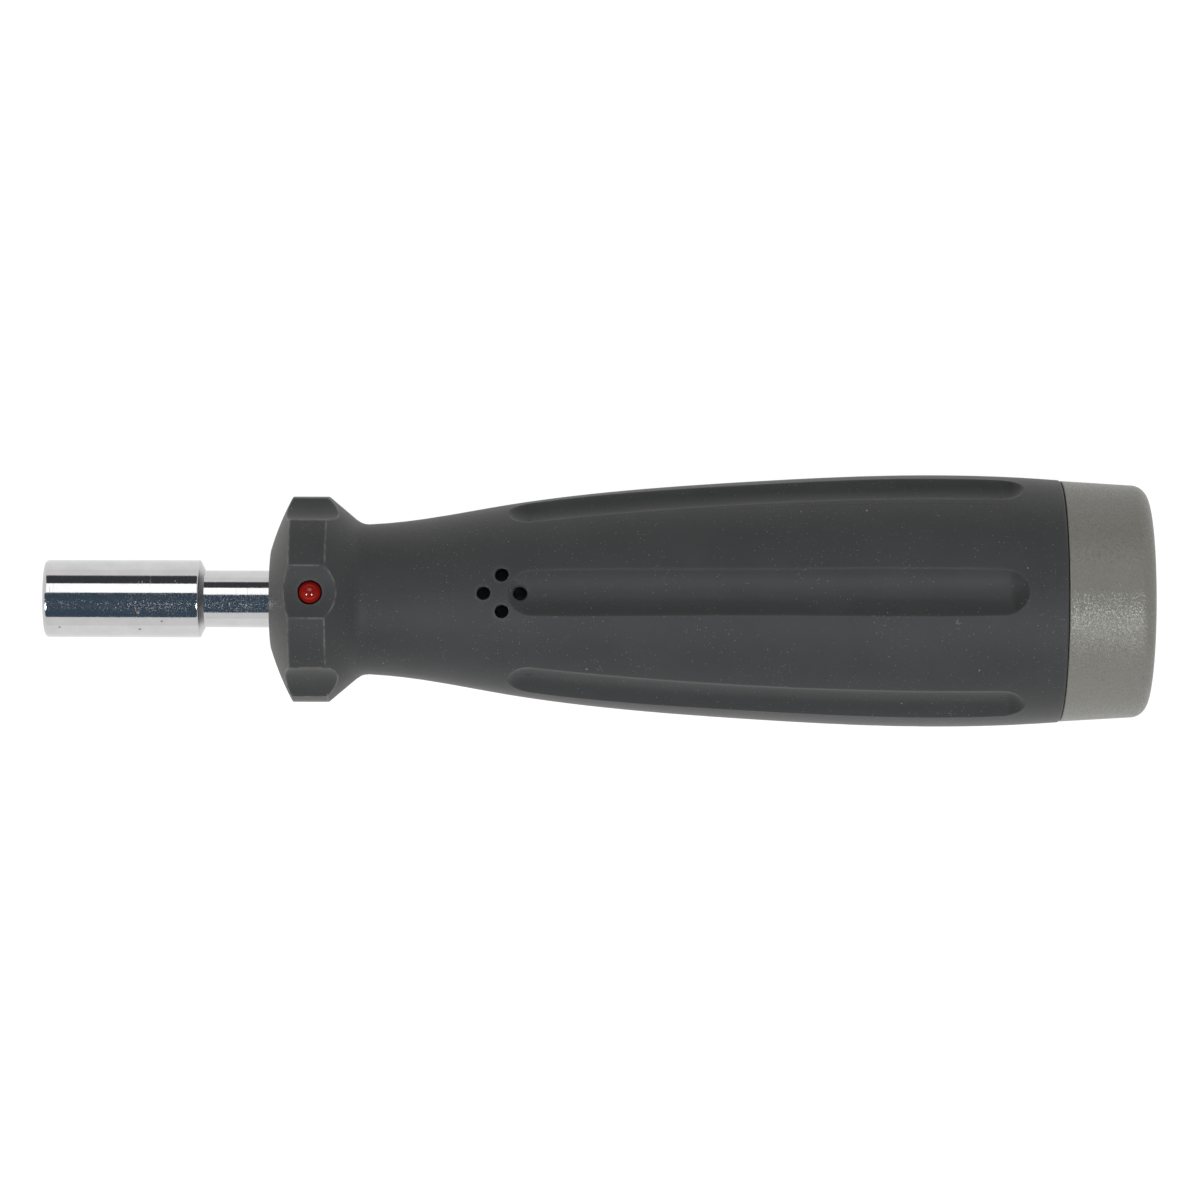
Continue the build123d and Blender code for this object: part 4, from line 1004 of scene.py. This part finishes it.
# %% [markdown]
# A digit has seven segments, each a bar with pointed ends. A text object would give the shapes of
# a printed font, so the bars are worked out here. The display faces down, so seen from below its
# upright direction is -Y. Segments a to g are named in the usual order, clockwise from the top,
# with g in the middle.

# %% Segments of a digit
SEGMENTS = {"0": "abcdef", "2": "abged", "5": "afgcd"}
DIGIT_WIDTH = 2.5
DIGIT_HEIGHT = 5.0
BAR = 0.55
SEGMENT_GAP = 0.08


def segment_outline(x, y, letter):
    """Outline of one segment of a digit whose lower left corner is at (x, y)."""
    half = BAR / 2
    middle = DIGIT_HEIGHT / 2
    levels = {"a": DIGIT_HEIGHT, "g": middle, "d": 0}
    if letter in levels:
        v = levels[letter]
        left, right = SEGMENT_GAP, DIGIT_WIDTH - SEGMENT_GAP
        outline = [(left, v), (left + half, v + half), (right - half, v + half), (right, v)]
        outline += [(right - half, v - half), (left + half, v - half)]
    else:
        u = DIGIT_WIDTH if letter in "bc" else 0
        low = middle if letter in "bf" else 0
        low, high = low + SEGMENT_GAP, low + middle - SEGMENT_GAP
        outline = [(u, low), (u + half, low + half), (u + half, high - half), (u, high)]
        outline += [(u - half, high - half), (u - half, low + half)]
    return [(x + u, y - v) for u, v in outline]


print("digits that can be shown:", ", ".join(SEGMENTS))

# %% [markdown]
# The display shows a torque of 2.50. A row of small bars under the digits fills as the torque
# rises, and a battery sign with two bars stands at the upper right.

# %% Marks on the display
MODULE_FACE = -11.5
DIGIT_BASE = 1.9
DIGITS = (("2", 91.0), ("5", 95.6), ("0", 99.2))
BARS_FILLED = 9
display_marks = []
for digit, x in DIGITS:
    display_marks += [segment_outline(x, DIGIT_BASE, letter) for letter in SEGMENTS[digit]]
decimal_point = rectangle(94.55, 1.95, 0.55, 0.55)
bar_graph = [rectangle(90.0 + number, 3.6, 0.7, 0.8) for number in range(BARS_FILLED)]
battery_case = [rectangle(104.6, -2.6, 2.2, 0.25), rectangle(104.6, -1.4, 2.2, 0.25)]
battery_case += [rectangle(103.6, -2.0, 0.25, 1.4), rectangle(105.7, -2.0, 0.25, 1.4)]
battery_bars = [rectangle(104.2, -2.0, 0.45, 0.8), rectangle(104.9, -2.0, 0.45, 0.8)]
display_marks += [decimal_point] + bar_graph + battery_case + battery_bars
mark_levels = (MODULE_FACE - 0.03, MODULE_FACE + SUNK)
flat_piece("display_segments", display_marks, mark_levels, ink, "handle")

# %% [markdown]
# Each button carries a plain symbol: a broken ring with a bar for power, three bars for mode, and
# triangles for up and down. The ring is the only one with a curve: its outline runs round the
# outside and back along the inside.

# %% A broken ring
RING_STEPS = 28


def broken_ring(x, y, outer, inner, gap_degrees):
    """A ring with a gap towards -Y, as one outline."""
    half_gap = math.radians(gap_degrees / 2)
    drawn = 2 * math.pi - 2 * half_gap
    turns = [half_gap + drawn * step / RING_STEPS for step in range(RING_STEPS + 1)]
    outside = [(x + outer * math.sin(turn), y - outer * math.cos(turn)) for turn in turns]
    inside = [(x + inner * math.sin(turn), y - inner * math.cos(turn)) for turn in reversed(turns)]
    return outside + inside


print("helper ready: broken_ring")

# %% [markdown]
# The symbols are printed, so they stand only 0.02 mm proud of the button. Each rides on its own
# button's body and goes down with it.

# %% Button symbols
PAD_FACE = -14.1
BUTTON_PLACES = {
    "power_button": (114.6, -3.3),
    "mode_button": (114.6, 3.3),
    "up_button": (122.2, -3.3),
    "down_button": (122.2, 3.3),
}
x, y = BUTTON_PLACES["power_button"]
power_marks = [broken_ring(x, y, 1.15, 0.85, 70), rectangle(x, y - 0.75, 0.3, 1.2)]
x, y = BUTTON_PLACES["mode_button"]
mode_marks = [rectangle(x, y + offset, 1.9, 0.32) for offset in (-0.8, 0.0, 0.8)]
x, y = BUTTON_PLACES["up_button"]
up_marks = [[(x - 1.15, y + 0.8), (x, y - 1.0), (x + 1.15, y + 0.8)]]
x, y = BUTTON_PLACES["down_button"]
down_marks = [[(x - 1.15, y - 0.8), (x, y + 1.0), (x + 1.15, y - 0.8)]]
symbol_levels = (PAD_FACE - 0.02, PAD_FACE + SUNK)
for body, marks, ink_used in (
    ("power_button", power_marks, red_ink),
    ("mode_button", mode_marks, symbol_ink),
    ("up_button", up_marks, symbol_ink),
    ("down_button", down_marks, symbol_ink),
):
    flat_piece(body + "_symbol", marks, symbol_levels, ink_used, body)

# %% [markdown]
# The chips have tinned legs that reach the board, and a few small parts stand beside them. Seen
# through an open handle they are what makes the board look populated. Flat bars are enough at
# their size.

# %% Chip legs and small parts
BOARD_TOP = -6.1
BOARD_BOTTOM = -7.1
LEG_WIDTH = 0.4
LEG_HEIGHT = 0.2
SMALL_PARTS = ((86.0, 5.2), (86.0, -5.2), (110.6, 5.4), (110.6, -5.4), (110.6, 0.0))


def chip_legs(first, pitch, count, side, length):
    """Two rows of legs, one on each side of a chip."""
    stations = [first + pitch * number for number in range(count)]
    return [rectangle(x, y, LEG_WIDTH, length) for x in stations for y in (-side, side)]


control_legs = chip_legs(84.3, 0.9, 7, 3.9, 1.0)
above_board = (BOARD_TOP - SUNK, BOARD_TOP + LEG_HEIGHT)
flat_piece("control_chip_legs", control_legs, above_board, tinned, "handle")
amplifier_legs = chip_legs(84.1, 0.95, 3, 2.8, 0.8)
below_board = (BOARD_BOTTOM - LEG_HEIGHT, BOARD_BOTTOM + SUNK)
flat_piece("amplifier_chip_legs", amplifier_legs, below_board, tinned, "handle")
small_parts = [rectangle(x, y, 1.6, 0.8) for x, y in SMALL_PARTS]
part_levels = (BOARD_BOTTOM - 0.5, BOARD_BOTTOM + SUNK)
flat_piece("board_small_parts", small_parts, part_levels, chip_epoxy, "handle")

# %% [markdown]
# ## Screw thread
# The cap screws over the ring's spigot with a coarse thread of 2 mm pitch, as its joint is
# geared. A screw modifier could wind it, but couldn't taper it. So each side is one ridge, wound
# on a helix point by point and tapered to nothing over a sixth of its length at both ends.

# %% A helper for the ridge
PITCH = 2.0
THREAD_TURNS = 2.3
STEPS_PER_TURN = 48
TAPER = 6
RIDGE_FOOT = 0.42
RIDGE_TOP = 0.2


def thread_ridge(name, start, root, crest, material, body):
    """A ridge from radius root to radius crest, wound from a station onwards."""
    steps = int(STEPS_PER_TURN * THREAD_TURNS)
    points = []
    faces = []
    for step in range(steps + 1):
        turn = 2 * math.pi * THREAD_TURNS * step / steps
        grown = min(1.0, TAPER * step / steps, TAPER * (steps - step) / steps)
        top = root + (crest - root) * max(grown, 0.02)
        middle = start + PITCH * turn / (2 * math.pi)
        for shift, radius in ((-RIDGE_FOOT, root), (-RIDGE_TOP, top), (RIDGE_TOP, top), (RIDGE_FOOT, root)):
            height = AXIS_HEIGHT + radius * MM * math.sin(turn)
            points.append((station(middle + shift), radius * MM * math.cos(turn), height))
    for step in range(steps):
        for index in range(4):
            after = (index + 1) % 4
            first = 4 * step
            faces.append([first + index, first + after, first + 4 + after, first + 4 + index])
    faces.append([3, 2, 1, 0])
    faces.append([4 * steps + index for index in range(4)])
    mesh = bpy.data.meshes.new(name)
    mesh.from_pydata(points, [], faces)
    mesh.polygons.foreach_set("use_smooth", [True] * len(faces))
    mesh.materials.append(material)
    piece = bpy.data.objects.new(name, mesh)
    bpy.context.scene.collection.objects.link(piece)
    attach(piece, body)


print("helper ready: thread_ridge")

# %% [markdown]
# The cap's ridge lies half a pitch from the spigot's, so they pass each other at every angle. One
# points outward and rides on the handle, the other points inward and rides on the cap.

# %% Wind the thread
THREAD_START = 140.0
thread_ridge("spigot_thread", THREAD_START, 13.46, 13.72, core_plastic, "handle")
thread_ridge("cap_thread", THREAD_START + PITCH / 2, 13.89, 13.64, cradle_plastic, "cap")
print("thread of", THREAD_TURNS, "turns, pitch in mm:", PITCH)
